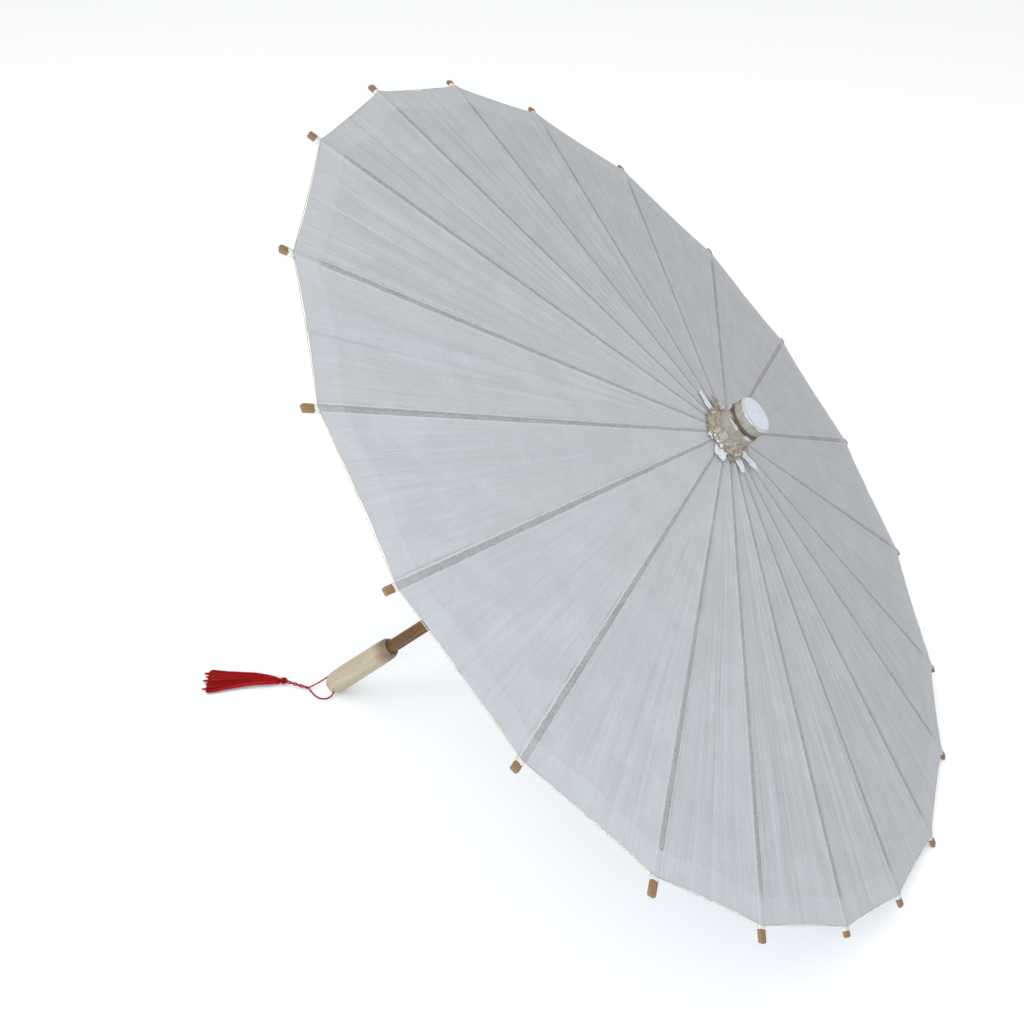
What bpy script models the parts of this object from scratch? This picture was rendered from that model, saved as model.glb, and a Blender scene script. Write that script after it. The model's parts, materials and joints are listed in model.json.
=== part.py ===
"""An oil paper umbrella, open and lying on the floor on two rib tips and the end of its handle.

Everything is drawn in the umbrella's own frame first: the origin is where the paper's sloping
lines would meet on the pole's axis, +Z runs along the pole towards the crown, and lengths are in
metres.  The frame is then tipped over so that the lowest points of two neighbouring ribs and of
the handle rest on z = 0.
"""

import math

import bmesh
import bpy
import numpy as np
from mathutils import Matrix, Vector

for old in list(bpy.data.objects):
    bpy.data.objects.remove(old, do_unlink=True)

# ---------------------------------------------------------------- driving dimensions
CANOPY_R = 0.420  # pole axis to a corner of the paper
RIBS = 20
OPEN = math.radians(79.5)  # an open rib from the pole's axis
CLOSED = math.radians(2.2)  # a closed one
PAPER = 0.00015  # thickness of the oiled paper
PAPER_GAP = 0.00055  # paper above the ribs
RIB_H = 0.0035  # height of a rib
RIB_PAST = 0.0100  # rib beyond the paper's corner
ODD_PAST = {3: 0.0083, 4: 0.0080, 15: 0.0078, 16: 0.0124, 17: 0.0146, 20: 0.0124}  # ribs cut longer or shorter
PIVOT_R = 0.015  # rings that the ribs and stretchers turn on
TONGUE_W = 0.0018  # rib and stretcher ends in their slots
SLOT_W = 0.0024
SLOT_IN = 0.0128  # radius of the slots' inner end
EYE_R = 0.00075  # thread holes
THREAD_R = 0.00035
JOINT_A = 0.185  # rib pivot to stretcher joint, along the rib
JOINT_E = 0.0035  # the joint below the rib's middle
STRETCHER_H = 0.0030
STRETCHER_W = 0.0034

POLE_R = 0.0067
POLE_TOP = 0.0180
SHOULDER = -0.4420  # upper end of the grip
GRIP_END = -0.5385
GRIP_R = 0.0116
CORD_HOLE = 0.0052  # tassel hole above the grip's end
CORD_HOLE_R = 0.0014
CORD_AZ = math.radians(72.0)

BLOCK_R = 0.0190  # the crown block's body
BLOCK_TOP = 0.0312
DISC_R = 0.0176
COLLAR_R = 0.0180  # toothed parts

SLEEVE_R = 0.0112
SLEEVE_LEN = 0.0560
BORE_GAP = 0.00035

CATCH_OUT = 0.0023  # how far the catch stands out of the pole
CATCH_LEN = 0.0260
CATCH_W = 0.0024
CATCH_AZ = math.radians(-92.0)

CORD_D = 0.0016
REST_RIBS = (12, 13)

# ---------------------------------------------------------------- derived
SLOPE = 1.0 / math.tan(OPEN)
LIFT = (RIB_H / 2 + PAPER_GAP + PAPER) / math.sin(OPEN)
PIVOT_Z = -PIVOT_R * SLOPE - LIFT
RIM_X = (CANOPY_R - PIVOT_R) / math.sin(OPEN)  # pivot to the paper's corner
RIB_LEN = RIM_X + RIB_PAST
ARM = math.hypot(JOINT_A, JOINT_E)
TURN = math.asin(JOINT_E / ARM)
OPEN_J, CLOSED_J = OPEN - TURN, CLOSED - TURN
RUNNER_Z = PIVOT_Z - 2 * ARM * math.cos(OPEN_J)
TRAVEL = 2 * ARM * (math.cos(CLOSED_J) - math.cos(OPEN_J))
SLEEVE_END = RUNNER_Z - SLEEVE_LEN


HAND = {1: 0.5, 2: -0.6, 5: 0.5, 7: -1.1, 9: 0.8, 10: 0.7, 11: -1.0, 12: 0.6, 13: -0.7, 14: -0.8, 15: 0.2, 17: 0.7, 19: -0.7}


def rib_azimuth(k):
    """Hand spacing: the ribs wander from even spacing in two slow waves round the crown, and some have a slip of their own."""
    p = math.radians(-360.0 * k / RIBS)
    wander = 2.98 * math.cos(p) + 3.25 * math.sin(p) - 1.05 * math.cos(2 * p) + 1.78 * math.sin(2 * p)
    return p + math.radians(wander + HAND.get(k, 0.0))


AZ = {k: rib_azimuth(k) for k in range(1, RIBS + 1)}


# ---------------------------------------------------------------- helpers
def material(name, colour, roughness, metallic=0.0):
    m = bpy.data.materials.new(name)
    m.use_nodes = True
    bsdf = m.node_tree.nodes["Principled BSDF"]
    bsdf.inputs["Base Color"].default_value = (*colour, 1.0)
    bsdf.inputs["Roughness"].default_value = roughness
    bsdf.inputs["Metallic"].default_value = metallic
    m.diffuse_color = (*colour, 1.0)
    return m


def put(name, mesh, mat, matrix=None, parent=None):
    obj = bpy.data.objects.new(name, mesh)
    bpy.context.scene.collection.objects.link(obj)
    if mat is not None and not mesh.materials:
        mesh.materials.append(mat)
    obj.parent = parent
    if matrix is not None:
        obj.matrix_local = matrix
    return obj


def mesh_from(name, points, faces, smooth=None):
    bm = bmesh.new()
    verts = [bm.verts.new(p) for p in points]
    for f in faces:
        bm.faces.new([verts[i] for i in f])
    bmesh.ops.recalc_face_normals(bm, faces=bm.faces)
    mesh = bpy.data.meshes.new(name)
    bm.to_mesh(mesh)
    bm.free()
    if smooth:
        mesh.shade_smooth()
        mesh.set_sharp_from_angle(angle=math.radians(smooth))
    return mesh


def loft(name, sections, smooth=None, ring=False):
    """Closed sections of equal length joined in order, capped at both ends or closed into a ring."""
    n = len(sections[0])
    points = [p for s in sections for p in s]
    faces = []
    m = len(sections)
    for i in range(m if ring else m - 1):
        j = (i + 1) % m
        for a in range(n):
            b = (a + 1) % n
            faces.append((i * n + a, i * n + b, j * n + b, j * n + a))
    if not ring:
        faces.append(tuple(range(n))[::-1])
        faces.append(tuple(range((m - 1) * n, m * n)))
    return mesh_from(name, points, faces, smooth)


def turned(name, profile, sides, smooth=35.0, hollow=False):
    """A turned piece about Z. A solid one's profile starts and ends on the axis."""
    points, faces, rings = [], [], []
    for r, z in profile:
        if r < 1e-7:
            rings.append([len(points)] * sides)
            points.append((0.0, 0.0, z))
        else:
            start = len(points)
            rings.append(list(range(start, start + sides)))
            for s in range(sides):
                t = 2 * math.pi * s / sides
                points.append((r * math.cos(t), r * math.sin(t), z))
    pairs = list(zip(rings, rings[1:] + rings[:1])) if hollow else list(zip(rings, rings[1:]))
    for low, high in pairs:
        for s in range(sides):
            e = (s + 1) % sides
            f = [low[s], low[e], high[e], high[s]]
            f = [v for i, v in enumerate(f) if v not in f[:i]]
            if len(f) > 2:
                faces.append(tuple(f))
    return mesh_from(name, points, faces, smooth)


def boxes(name, frames, lo, hi):
    """One box from lo to hi in each of the frames, as one cutter mesh."""
    points, faces = [], []
    for m in frames:
        base = len(points)
        for x in (lo[0], hi[0]):
            for y in (lo[1], hi[1]):
                for z in (lo[2], hi[2]):
                    points.append(m @ Vector((x, y, z)))
        for f in ((0, 1, 3, 2), (4, 6, 7, 5), (0, 4, 5, 1), (2, 3, 7, 6), (0, 2, 6, 4), (1, 5, 7, 3)):
            faces.append([base + i for i in f])
    return mesh_from(name, points, faces)


def cylinders_y(name, centres, radius, half, sides=6):
    """Cylinders along Y at each (x, z), as one cutter mesh."""
    points, faces = [], []
    for x, z in centres:
        base = len(points)
        for y in (-half, half):
            for s in range(sides):
                t = 2 * math.pi * (s + 0.5) / sides
                points.append((x + radius * math.cos(t), y, z + radius * math.sin(t)))
        for s in range(sides):
            e = (s + 1) % sides
            faces.append((base + s, base + e, base + sides + e, base + sides + s))
        faces.append(tuple(base + s for s in range(sides))[::-1])
        faces.append(tuple(base + sides + s for s in range(sides)))
    return mesh_from(name, points, faces)


def cut(name, mesh, *cutters, smooth=None):
    """The mesh less each cutter, as a new mesh."""
    work = put(name + "_work", mesh, None)
    helpers = [work]
    for i, c in enumerate(cutters):
        tool = put(f"{name}_cutter{i}", c, None)
        tool.hide_render = True
        tool.display_type = "WIRE"
        helpers.append(tool)
        mod = work.modifiers.new(f"cut{i}", "BOOLEAN")
        mod.operation = "DIFFERENCE"
        mod.solver = "EXACT"
        mod.object = tool
    bpy.context.view_layer.update()
    done = bpy.data.meshes.new_from_object(work.evaluated_get(bpy.context.evaluated_depsgraph_get()))
    for h in helpers:
        bpy.data.objects.remove(h, do_unlink=True)
    done.name = name
    if smooth:
        done.shade_smooth()
        done.set_sharp_from_angle(angle=math.radians(smooth))
    return done


def radial(az, r=0.0, z=0.0):
    """A frame on the pole's radius at this azimuth: x outward, y along the tangent, z up the pole."""
    return Matrix.Rotation(az, 4, "Z") @ Matrix.Translation((r, 0.0, z))


def rib_frame(az):
    """x out along the open rib from its pivot, y along the tangent, z to the paper."""
    return radial(az, PIVOT_R, PIVOT_Z) @ Matrix.Rotation(math.pi / 2 - OPEN, 4, "Y")


def stretcher_frame(az):
    """x from the rib joint to the runner, y along the tangent."""
    joint = rib_frame(az) @ Vector((JOINT_A, 0.0, -JOINT_E))
    turn = Matrix.Rotation(math.pi / 2 + OPEN_J, 4, "Y") @ Matrix.Identity(4)
    return Matrix.Translation(joint) @ Matrix.Rotation(az, 4, "Z") @ turn


def thread_ring(name, radius, z, half, frames=None, point=None):
    """A closed loop of thread, straight across each rib and from rib to rib."""
    path = []
    for k in range(RIBS, 0, -1):
        m = radial(AZ[k], radius, z) if frames is None else frames(AZ[k])
        c = Vector((0, 0, 0)) if point is None else Vector(point)
        path += [m @ (c + Vector((0, -half, 0))), m @ (c + Vector((0, half, 0)))]
    sections = []
    n = len(path)
    for i, p in enumerate(path):
        d = (path[(i + 1) % n] - path[i - 1]).normalized()
        side = d.cross(Vector((0, 0, 1))).normalized()
        up = side.cross(d)
        sections.append(
            [p + THREAD_R * (math.cos(t) * side + math.sin(t) * up) for t in (2 * math.pi * s / 5 for s in range(5))]
        )
    return loft(name, sections, smooth=60.0, ring=True)


# ---------------------------------------------------------------- materials
BAMBOO = material("bamboo", (0.235, 0.150, 0.072), 0.55)
SPLIT = material("split_bamboo", (0.42, 0.30, 0.16), 0.60)
POLE_WOOD = material("pole_wood", (0.165, 0.080, 0.030), 0.42)
GRIP_WOOD = material("grip_wood", (0.480, 0.380, 0.235), 0.50)
BLOCK_WOOD = material("crown_wood", (0.340, 0.295, 0.215), 0.65)
RUNNER_WOOD = material("runner_wood", (0.300, 0.240, 0.150), 0.60)
OILED = material("oiled_paper", (0.780, 0.790, 0.800), 0.70)
THREAD = material("thread", (0.620, 0.580, 0.480), 0.85)
SPRING = material("catch_brass", (0.500, 0.360, 0.130), 0.35, 1.0)
RED = material("red_silk", (0.420, 0.006, 0.006), 0.45)

lying = bpy.data.objects.new("lying", None)
bpy.context.scene.collection.objects.link(lying)


# ---------------------------------------------------------------- ribs
def rib_width(x):
    return 0.0029 + (0.0062 - 0.0029) * max(0.0, x) / RIB_LEN


def box_section(x, half, top, bottom):
    return [(x, -half, bottom), (x, half, bottom), (x, half, top), (x, -half, top)]


def rib_mesh(k):
    h, t, a = RIB_H / 2, TONGUE_W / 2, JOINT_A
    end = RIM_X + ODD_PAST.get(k, RIB_PAST)
    g = RIM_X - 0.0016  # groove for the rim thread
    wide = [
        (-0.00155, t, 0.0005, -0.0005),
        (-0.00080, t, 0.0014, -0.0014),
        (0.0080, t, 0.0017, -0.0017),
        (0.0140, rib_width(0.014) / 2, h, -h),
        (a - 0.0085, 0.00205, h, -h),
        (a - 0.0050, 0.00205, h, -0.0044),
        (a - 0.0018, 0.00205, h, -0.0052),
        (a + 0.0018, 0.00205, h, -0.0052),
        (a + 0.0050, 0.00205, h, -0.0044),
        (a + 0.0085, 0.00205, h, -h),
        (g - 0.0011, rib_width(g) / 2, h, -h),
        (g - 0.0006, rib_width(g) / 2, 0.00045, -h),
        (g + 0.0006, rib_width(g) / 2, 0.00045, -h),
        (g + 0.0011, rib_width(g) / 2, h, -h),
        (end - 0.0012, rib_width(end) / 2, h, -h),
        (end, rib_width(end) / 2 - 0.0006, h - 0.0007, -h + 0.0007),
    ]
    body = loft("rib", [box_section(*w) for w in wide])
    slot = boxes(
        "rib_slot", [Matrix.Identity(4)], (a - 0.0100, -SLOT_W / 2 + 0.0001, -0.0065), (a + 0.0100, SLOT_W / 2 - 0.0001, -0.0016)
    )
    eyes = cylinders_y("rib_eyes", [(0.0, 0.0), (a, -JOINT_E)], EYE_R, 0.004)
    return cut("rib", body, slot, eyes)


def stretcher_mesh():
    h, t = STRETCHER_H / 2, TONGUE_W / 2
    long = ARM
    w = [
        (-0.00145, t, 0.0005, -0.0005),
        (-0.00070, t, 0.0013, -0.0013),
        (0.0105, t, h, -h),
        (0.0160, STRETCHER_W / 2, h, -h),
        (long - 0.060, STRETCHER_W / 2, h, -h),
        (long - 0.034, t, h, -h),
        (long + 0.00070, t, 0.0013, -0.0013),
        (long + 0.00145, t, 0.0005, -0.0005),
    ]
    body = loft("stretcher", [box_section(*s) for s in w])
    return cut("stretcher", body, cylinders_y("stretcher_eyes", [(0.0, 0.0), (long, 0.0)], EYE_R, 0.004))


stretcher = stretcher_mesh()
stretcher.materials.clear()
stretcher.materials.append(SPLIT)
for k in range(1, RIBS + 1):
    rib = rib_mesh(k)
    rib.materials.clear()
    rib.materials.append(BAMBOO)
    put(f"rib_{k:02d}", rib, None, rib_frame(AZ[k]), lying)
    put(f"stretcher_{k:02d}", stretcher, None, stretcher_frame(AZ[k]), lying)

# ---------------------------------------------------------------- pole, grip, crown block, runner
catch_top = SLEEVE_END - 0.0006
pocket = boxes(
    "pocket",
    [radial(CATCH_AZ)],
    (0.0002, -CATCH_W / 2 - 0.0003, catch_top - CATCH_LEN - 0.0005),
    (0.0120, CATCH_W / 2 + 0.0003, catch_top + 0.0009),
)
pole = turned(
    "pole", [(0, GRIP_END + 0.030), (POLE_R, GRIP_END + 0.030), (POLE_R, POLE_TOP), (0, POLE_TOP)], 24
)
put("pole", cut("pole", pole, pocket, smooth=35.0), POLE_WOOD, None, lying)

grip_bore = POLE_R + 0.0003
grip = [
    (0, GRIP_END),
    (0.0030, GRIP_END),
    (0.0062, GRIP_END + 0.0012),
    (0.0088, GRIP_END + 0.0036),
    (0.0104, GRIP_END + 0.0072),
    (0.0113, GRIP_END + 0.0120),
    (GRIP_R, GRIP_END + 0.0200),
    (0.0115, GRIP_END + 0.0560),
    (0.0112, SHOULDER - 0.0080),
    (0.0106, SHOULDER - 0.0030),
    (0.0090, SHOULDER),
    (grip_bore, SHOULDER),
    (grip_bore, GRIP_END + 0.0290),
    (0, GRIP_END + 0.0290),
]
hole = cylinders_y("cord_hole", [(0.0, GRIP_END + CORD_HOLE)], CORD_HOLE_R, 0.02, sides=10)
hole.transform(Matrix.Rotation(CORD_AZ - math.pi / 2, 4, "Z"))
put("handle_grip", cut("handle_grip", turned("grip", grip, 28), hole, smooth=35.0), GRIP_WOOD, None, lying)

block = [
    (0, POLE_TOP + 0.0006),
    (POLE_R + 0.0003, POLE_TOP + 0.0006),
    (POLE_R + 0.0003, PIVOT_Z - 0.0065),
    (0.0165, PIVOT_Z - 0.0065),
    (COLLAR_R, PIVOT_Z - 0.0050),
    (COLLAR_R, PIVOT_Z - 0.0010),
    (0.0138, PIVOT_Z - 0.0010),
    (0.0138, PIVOT_Z + 0.0010),
    (COLLAR_R, PIVOT_Z + 0.0010),
    (COLLAR_R, PIVOT_Z + 0.0021),
    (BLOCK_R, PIVOT_Z + 0.0036),
    (BLOCK_R, 0.0165),
    (0.0183, 0.0180),
    (0.0150, 0.0186),
    (0.0150, 0.0206),
    (0.0171, 0.0212),
    (DISC_R, 0.0222),
    (DISC_R, BLOCK_TOP - 0.0010),
    (0.0166, BLOCK_TOP),
    (0, BLOCK_TOP),
]
slots = boxes(
    "slots",
    [radial(AZ[k]) for k in AZ],
    (SLOT_IN, -SLOT_W / 2, PIVOT_Z - 0.0120),
    (0.0230, SLOT_W / 2, PIVOT_Z + 0.0021),
)


put("crown_block", cut("crown_block", turned("block", block, 28), slots, smooth=35.0), BLOCK_WOOD, None, lying)

runner = [
    (POLE_R + BORE_GAP, 0.0060),
    (POLE_R + BORE_GAP, -SLEEVE_LEN),
    (0.0106, -SLEEVE_LEN),
    (SLEEVE_R, -SLEEVE_LEN + 0.0012),
    (SLEEVE_R, -SLEEVE_LEN + 0.0060),
    (0.0104, -SLEEVE_LEN + 0.0075),
    (0.0104, -0.0130),
    (0.0125, -0.0080),
    (COLLAR_R, -0.0080),
    (COLLAR_R, -0.0010),
    (0.0138, -0.0010),
    (0.0138, 0.0010),
    (COLLAR_R, 0.0010),
    (COLLAR_R, 0.0050),
    (0.0170, 0.0060),
]
runner_slots = boxes(
    "runner_slots", [radial(AZ[k]) for k in AZ], (SLOT_IN, -SLOT_W / 2, -0.0120), (0.0230, SLOT_W / 2, 0.0100)
)
keyway = boxes(
    "keyway", [radial(CATCH_AZ)], (0.0030, -CATCH_W / 2 - 0.0004, -SLEEVE_LEN - 0.01), (POLE_R + CATCH_OUT + 0.0006, CATCH_W / 2 + 0.0004, 0.02)
)
put(
    "runner",
    cut("runner", turned("runner", runner, 28, hollow=True), runner_slots, keyway, smooth=35.0),
    RUNNER_WOOD,
    Matrix.Translation((0, 0, RUNNER_Z)),
    lying,
)

# ---------------------------------------------------------------- catch
w = CATCH_W / 2
side = [
    (-0.0013, -0.0020),
    (0.0019, -0.0020),
    (0.0020, 0.0080),
    (POLE_R + CATCH_OUT - 0.0047, CATCH_LEN - 0.0035),
    (POLE_R + CATCH_OUT - 0.0047, CATCH_LEN - 0.0020),
    (-0.0013, CATCH_LEN - 0.0020),
]
put(
    "catch_spring",
    loft("catch_spring", [[(x, y, z) for x, z in side] for y in (-w, w)]),
    SPRING,
    radial(CATCH_AZ, 0.0047, catch_top - CATCH_LEN + 0.0020),
    lying,
)

# ---------------------------------------------------------------- threads
put("hub_thread", thread_ring("hub_thread", PIVOT_R, PIVOT_Z, 0.0013), THREAD, None, lying)
put(
    "runner_thread",
    thread_ring("runner_thread", PIVOT_R, 0.0, 0.0013),
    THREAD,
    Matrix.Translation((0, 0, RUNNER_Z)),
    lying,
)
put(
    "joint_thread",
    thread_ring("joint_thread", 0, 0, 0.0028, rib_frame, (JOINT_A, 0, -JOINT_E)),
    THREAD,
    None,
    lying,
)
put(
    "rim_thread",
    thread_ring("rim_thread", 0, 0, 0.0043, rib_frame, (RIM_X - 0.0016, 0, 0.00115)),
    THREAD,
    None,
    lying,
)


# ---------------------------------------------------------------- paper
def paper_point(az, r, z_off):
    return (r * math.cos(az), r * math.sin(az), -r * SLOPE + z_off)


def canopy_mesh():
    """One thin shell over the ribs, with a slight sag along the middle of each gore."""
    order = [AZ[k] for k in range(RIBS, 0, -1)]
    stations = (0.0196, 0.150, 0.290, CANOPY_R)
    columns = []
    for i, az in enumerate(order):
        nxt = order[(i + 1) % RIBS] + (2 * math.pi if i == RIBS - 1 else 0)
        mid, half = (az + nxt) / 2, (nxt - az) / 2
        columns.append([(az, r, 0.0) for r in stations])
        columns.append([(mid, r * math.cos(half), r) for r in stations])
    points, n = [], len(stations)
    for off in (0.0, -PAPER / math.sin(OPEN)):
        for col in columns:
            for a, r, along in col:
                x, y, z = paper_point(a, r, off)
                if along:  # a straight chord between its ribs, let down a little
                    z = -along * SLOPE + off - 0.0016 * math.sin(math.pi * min(1.0, (along - 0.0196) / 0.43))
                points.append((x, y, z))
    m, faces = len(columns), []
    base = m * n
    for c in range(m):
        d = (c + 1) % m
        for j in range(n - 1):
            faces.append((c * n + j, c * n + j + 1, d * n + j + 1, d * n + j))
            faces.append((base + c * n + j, base + d * n + j, base + d * n + j + 1, base + c * n + j + 1))
        faces.append((c * n, d * n, base + d * n, base + c * n))
        faces.append((c * n + n - 1, base + c * n + n - 1, base + d * n + n - 1, d * n + n - 1))
    return mesh_from("canopy_paper", points, faces)


put("canopy_paper", canopy_mesh(), OILED, None, lying)


def cone_z(r, off):
    return -r * SLOPE + off


collar = [
    (BLOCK_R + 0.0004, 0.0100),
    (BLOCK_R + 0.0004, cone_z(BLOCK_R, 0.0007)),
    (0.0320, cone_z(0.0320, 0.0004)),
    (0.0322, cone_z(0.0320, 0.0008)),
    (BLOCK_R + 0.0016, cone_z(BLOCK_R, 0.0019)),
    (BLOCK_R + 0.0008, 0.0100),
]
put("crown_paper", turned("crown_paper", collar, 32, hollow=True), OILED, None, lying)
put(
    "crown_disc_paper",
    turned(
        "crown_disc_paper",
        [(0, BLOCK_TOP + 0.0003), (0.0163, BLOCK_TOP + 0.0003), (0.0163, BLOCK_TOP + 0.0007), (0, BLOCK_TOP + 0.0007)],
        32,
    ),
    OILED,
    None,
    lying,
)

# ---------------------------------------------------------------- tip it over onto the floor
corners = {}
for name in [f"rib_{k:02d}" for k in REST_RIBS] + ["handle_grip"]:
    o = bpy.data.objects[name]
    corners[name] = [np.array(o.matrix_local @ v.co) for v in o.data.vertices]
up = np.array((0.0, 0.0, 1.0))
first = np.array(Matrix.Rotation(AZ[REST_RIBS[0]] / 2 + AZ[REST_RIBS[1]] / 2, 3, "Z") @ Vector((-1, 0, 1)))
up = first / np.linalg.norm(first)
for _ in range(40):
    low = [min(points, key=lambda p: float(p @ up)) for points in corners.values()]
    normal = np.cross(low[1] - low[0], low[2] - low[0])
    normal /= np.linalg.norm(normal)
    up = normal if normal @ up > 0 else -normal
ahead = np.array((0.0, 0.0, 1.0)) - up * up[2]
ahead /= np.linalg.norm(ahead)
left = np.cross(up, ahead)
turn = Matrix([list(ahead), list(left), list(up)]).to_4x4()
lying.matrix_world = turn
bpy.context.view_layer.update()
cloud = np.array([o.matrix_world @ v.co for o in bpy.data.objects if o.type == "MESH" for v in o.data.vertices])
middle = (cloud.min(0) + cloud.max(0)) / 2
ground = min(float(up @ p) for p in low)
shift = Vector((-middle[0], -middle[1], -ground))
lying.matrix_world = Matrix.Translation(shift) @ turn
bpy.context.view_layer.update()

# ---------------------------------------------------------------- tassel, on the floor by the grip
# Route points are metres from the point below the middle of the grip's end.
lie = lying.matrix_world.copy()
end = lie @ Vector((0, 0, GRIP_END))
foot = bpy.data.objects.new("tassel", None)
bpy.context.scene.collection.objects.link(foot)
foot.location = (end.x, end.y, 0.0)
hole_mid = lie @ Vector((0, 0, GRIP_END + CORD_HOLE)) - foot.location
hole_dir = (turn @ Vector((math.cos(CORD_AZ), math.sin(CORD_AZ), 0))).normalized()

JOIN = Vector((-0.0240, -0.0074, 0.0024))
KNOT = Vector((-0.0505, -0.0056, 0.0042))
TWIST_R = 0.00102
far_strand = [hole_mid - hole_dir * d for d in (0.0050, 0.0080, 0.0108)] + [
    Vector((-0.0040, 0.0108, 0.0092)),
    Vector((-0.0078, 0.0074, 0.0070)),
    Vector((-0.0140, 0.0004, 0.0046)),
]
near_strand = [hole_mid + hole_dir * d for d in (0.0050, 0.0080, 0.0108)] + [
    Vector((0.0060, -0.0138, 0.0020)),
    Vector((0.0010, -0.0182, 0.0010)),
    Vector((-0.0060, -0.0184, 0.0009)),
    Vector((-0.0135, -0.0142, 0.0011)),
]


def twisted(phase):
    """The strand's way round the other one, from where they meet to the knot."""
    along = (KNOT - JOIN).normalized()
    side = along.cross(Vector((0, 0, 1))).normalized()
    up = side.cross(along)
    run = (KNOT - JOIN).length - 0.0046
    out = []
    for i in range(11):
        s = i / 10
        t = phase + s * 2 * math.pi * 1.5
        out.append(JOIN + along * run * s + TWIST_R * (math.cos(t) * side + math.sin(t) * up))
    return out


def smooth_curve(points, step):
    """Points about a step apart on a centripetal Catmull-Rom curve through these."""
    p = [points[0] * 2 - points[1]] + points + [points[-1] * 2 - points[-2]]
    fine = []
    for i in range(1, len(p) - 2):
        t = [0.0]
        for a in range(3):
            t.append(t[-1] + max((p[i + a] - p[i + a - 1]).length, 1e-6) ** 0.5)
        for j in range(20):
            u = t[1] + (t[2] - t[1]) * j / 20
            a1 = p[i - 1] * ((t[1] - u) / (t[1] - t[0])) + p[i] * ((u - t[0]) / (t[1] - t[0]))
            a2 = p[i] * ((t[2] - u) / (t[2] - t[1])) + p[i + 1] * ((u - t[1]) / (t[2] - t[1]))
            a3 = p[i + 1] * ((t[3] - u) / (t[3] - t[2])) + p[i + 2] * ((u - t[2]) / (t[3] - t[2]))
            b1 = a1 * ((t[2] - u) / (t[2] - t[0])) + a2 * ((u - t[0]) / (t[2] - t[0]))
            b2 = a2 * ((t[3] - u) / (t[3] - t[1])) + a3 * ((u - t[1]) / (t[3] - t[1]))
            fine.append(b1 * ((t[2] - u) / (t[2] - t[1])) + b2 * ((u - t[1]) / (t[2] - t[1])))
    fine.append(points[-1])
    along = [0.0]
    for a, b in zip(fine, fine[1:]):
        along.append(along[-1] + (b - a).length)
    count = max(2, round(along[-1] / step))
    out = []
    for i in range(count + 1):
        want = along[-1] * i / count
        j = min(max(1, next((n for n, v in enumerate(along) if v >= want), len(along) - 1)), len(along) - 1)
        share = (want - along[j - 1]) / max(along[j] - along[j - 1], 1e-9)
        out.append(fine[j - 1].lerp(fine[j], share))
    return out


def cord(name, points):
    route = smooth_curve(points, 0.0022)
    data = bpy.data.curves.new(name, "CURVE")
    data.dimensions = "3D"
    data.bevel_depth = CORD_D / 2
    data.bevel_resolution = 1
    data.use_fill_caps = True
    spline = data.splines.new("POLY")
    spline.points.add(len(route) - 1)
    for p, q in zip(spline.points, route):
        p.co = (*q, 1.0)
    data.materials.append(RED)
    obj = bpy.data.objects.new(name, data)
    bpy.context.scene.collection.objects.link(obj)
    obj.parent = foot
    return obj


cord("tassel_cord_far", far_strand + twisted(math.radians(-90)))
cord("tassel_cord_near", near_strand + twisted(math.radians(90)))


def oval(centre, along, wide, thick, sides=10):
    side = Vector((0, 0, 1)).cross(along).normalized()
    up = Vector((0, 0, 1))
    out = []
    for s in range(sides):
        t = 2 * math.pi * (s + 0.5) / sides
        c, q = math.cos(t), math.sin(t)
        c, q = math.copysign(abs(c) ** 0.75, c), math.copysign(abs(q) ** 0.75, q)
        out.append(centre + side * (wide / 2 * c) + up * (thick / 2 * q))
    return out


along = (KNOT - JOIN).normalized()
flat = Vector((along.x, along.y, 0)).normalized()
knot = [
    oval(KNOT + flat * d, flat, w, t)
    for d, w, t in ((-0.0042, 0.0030, 0.0030), (-0.0024, 0.0078, 0.0068), (0.0, 0.0094, 0.0076), (0.0024, 0.0078, 0.0066), (0.0042, 0.0040, 0.0036))
]
put("tassel_knot", loft("tassel_knot", knot, smooth=50.0), RED, None, foot)

SKIRT = [  # centre x, y, width, thickness
    (-0.0552, -0.0059, 0.0050, 0.0046),
    (-0.0590, -0.0064, 0.0088, 0.0066),
    (-0.0670, -0.0084, 0.0150, 0.0078),
    (-0.0790, -0.0118, 0.0200, 0.0074),
    (-0.0930, -0.0160, 0.0240, 0.0062),
    (-0.1090, -0.0208, 0.0300, 0.0052),
    (-0.1230, -0.0252, 0.0390, 0.0044),
    (-0.1330, -0.0284, 0.0470, 0.0036),
]
skirt = []
for i, (x, y, wide, thick) in enumerate(SKIRT):
    a, b = SKIRT[max(0, i - 1)], SKIRT[min(len(SKIRT) - 1, i + 1)]
    heading = Vector((b[0] - a[0], b[1] - a[1], 0)).normalized()
    skirt.append(oval(Vector((x, y, max(thick / 2 + 0.0004, 0.0042 - 0.12 * i / 1000))), heading, wide, thick))
put("tassel_skirt", loft("tassel_skirt", skirt, smooth=50.0), RED, None, foot)
bpy.context.view_layer.update()
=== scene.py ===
import json
import math

import bmesh
import bpy
import numpy as np
from mathutils import Matrix, Vector, noise


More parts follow.
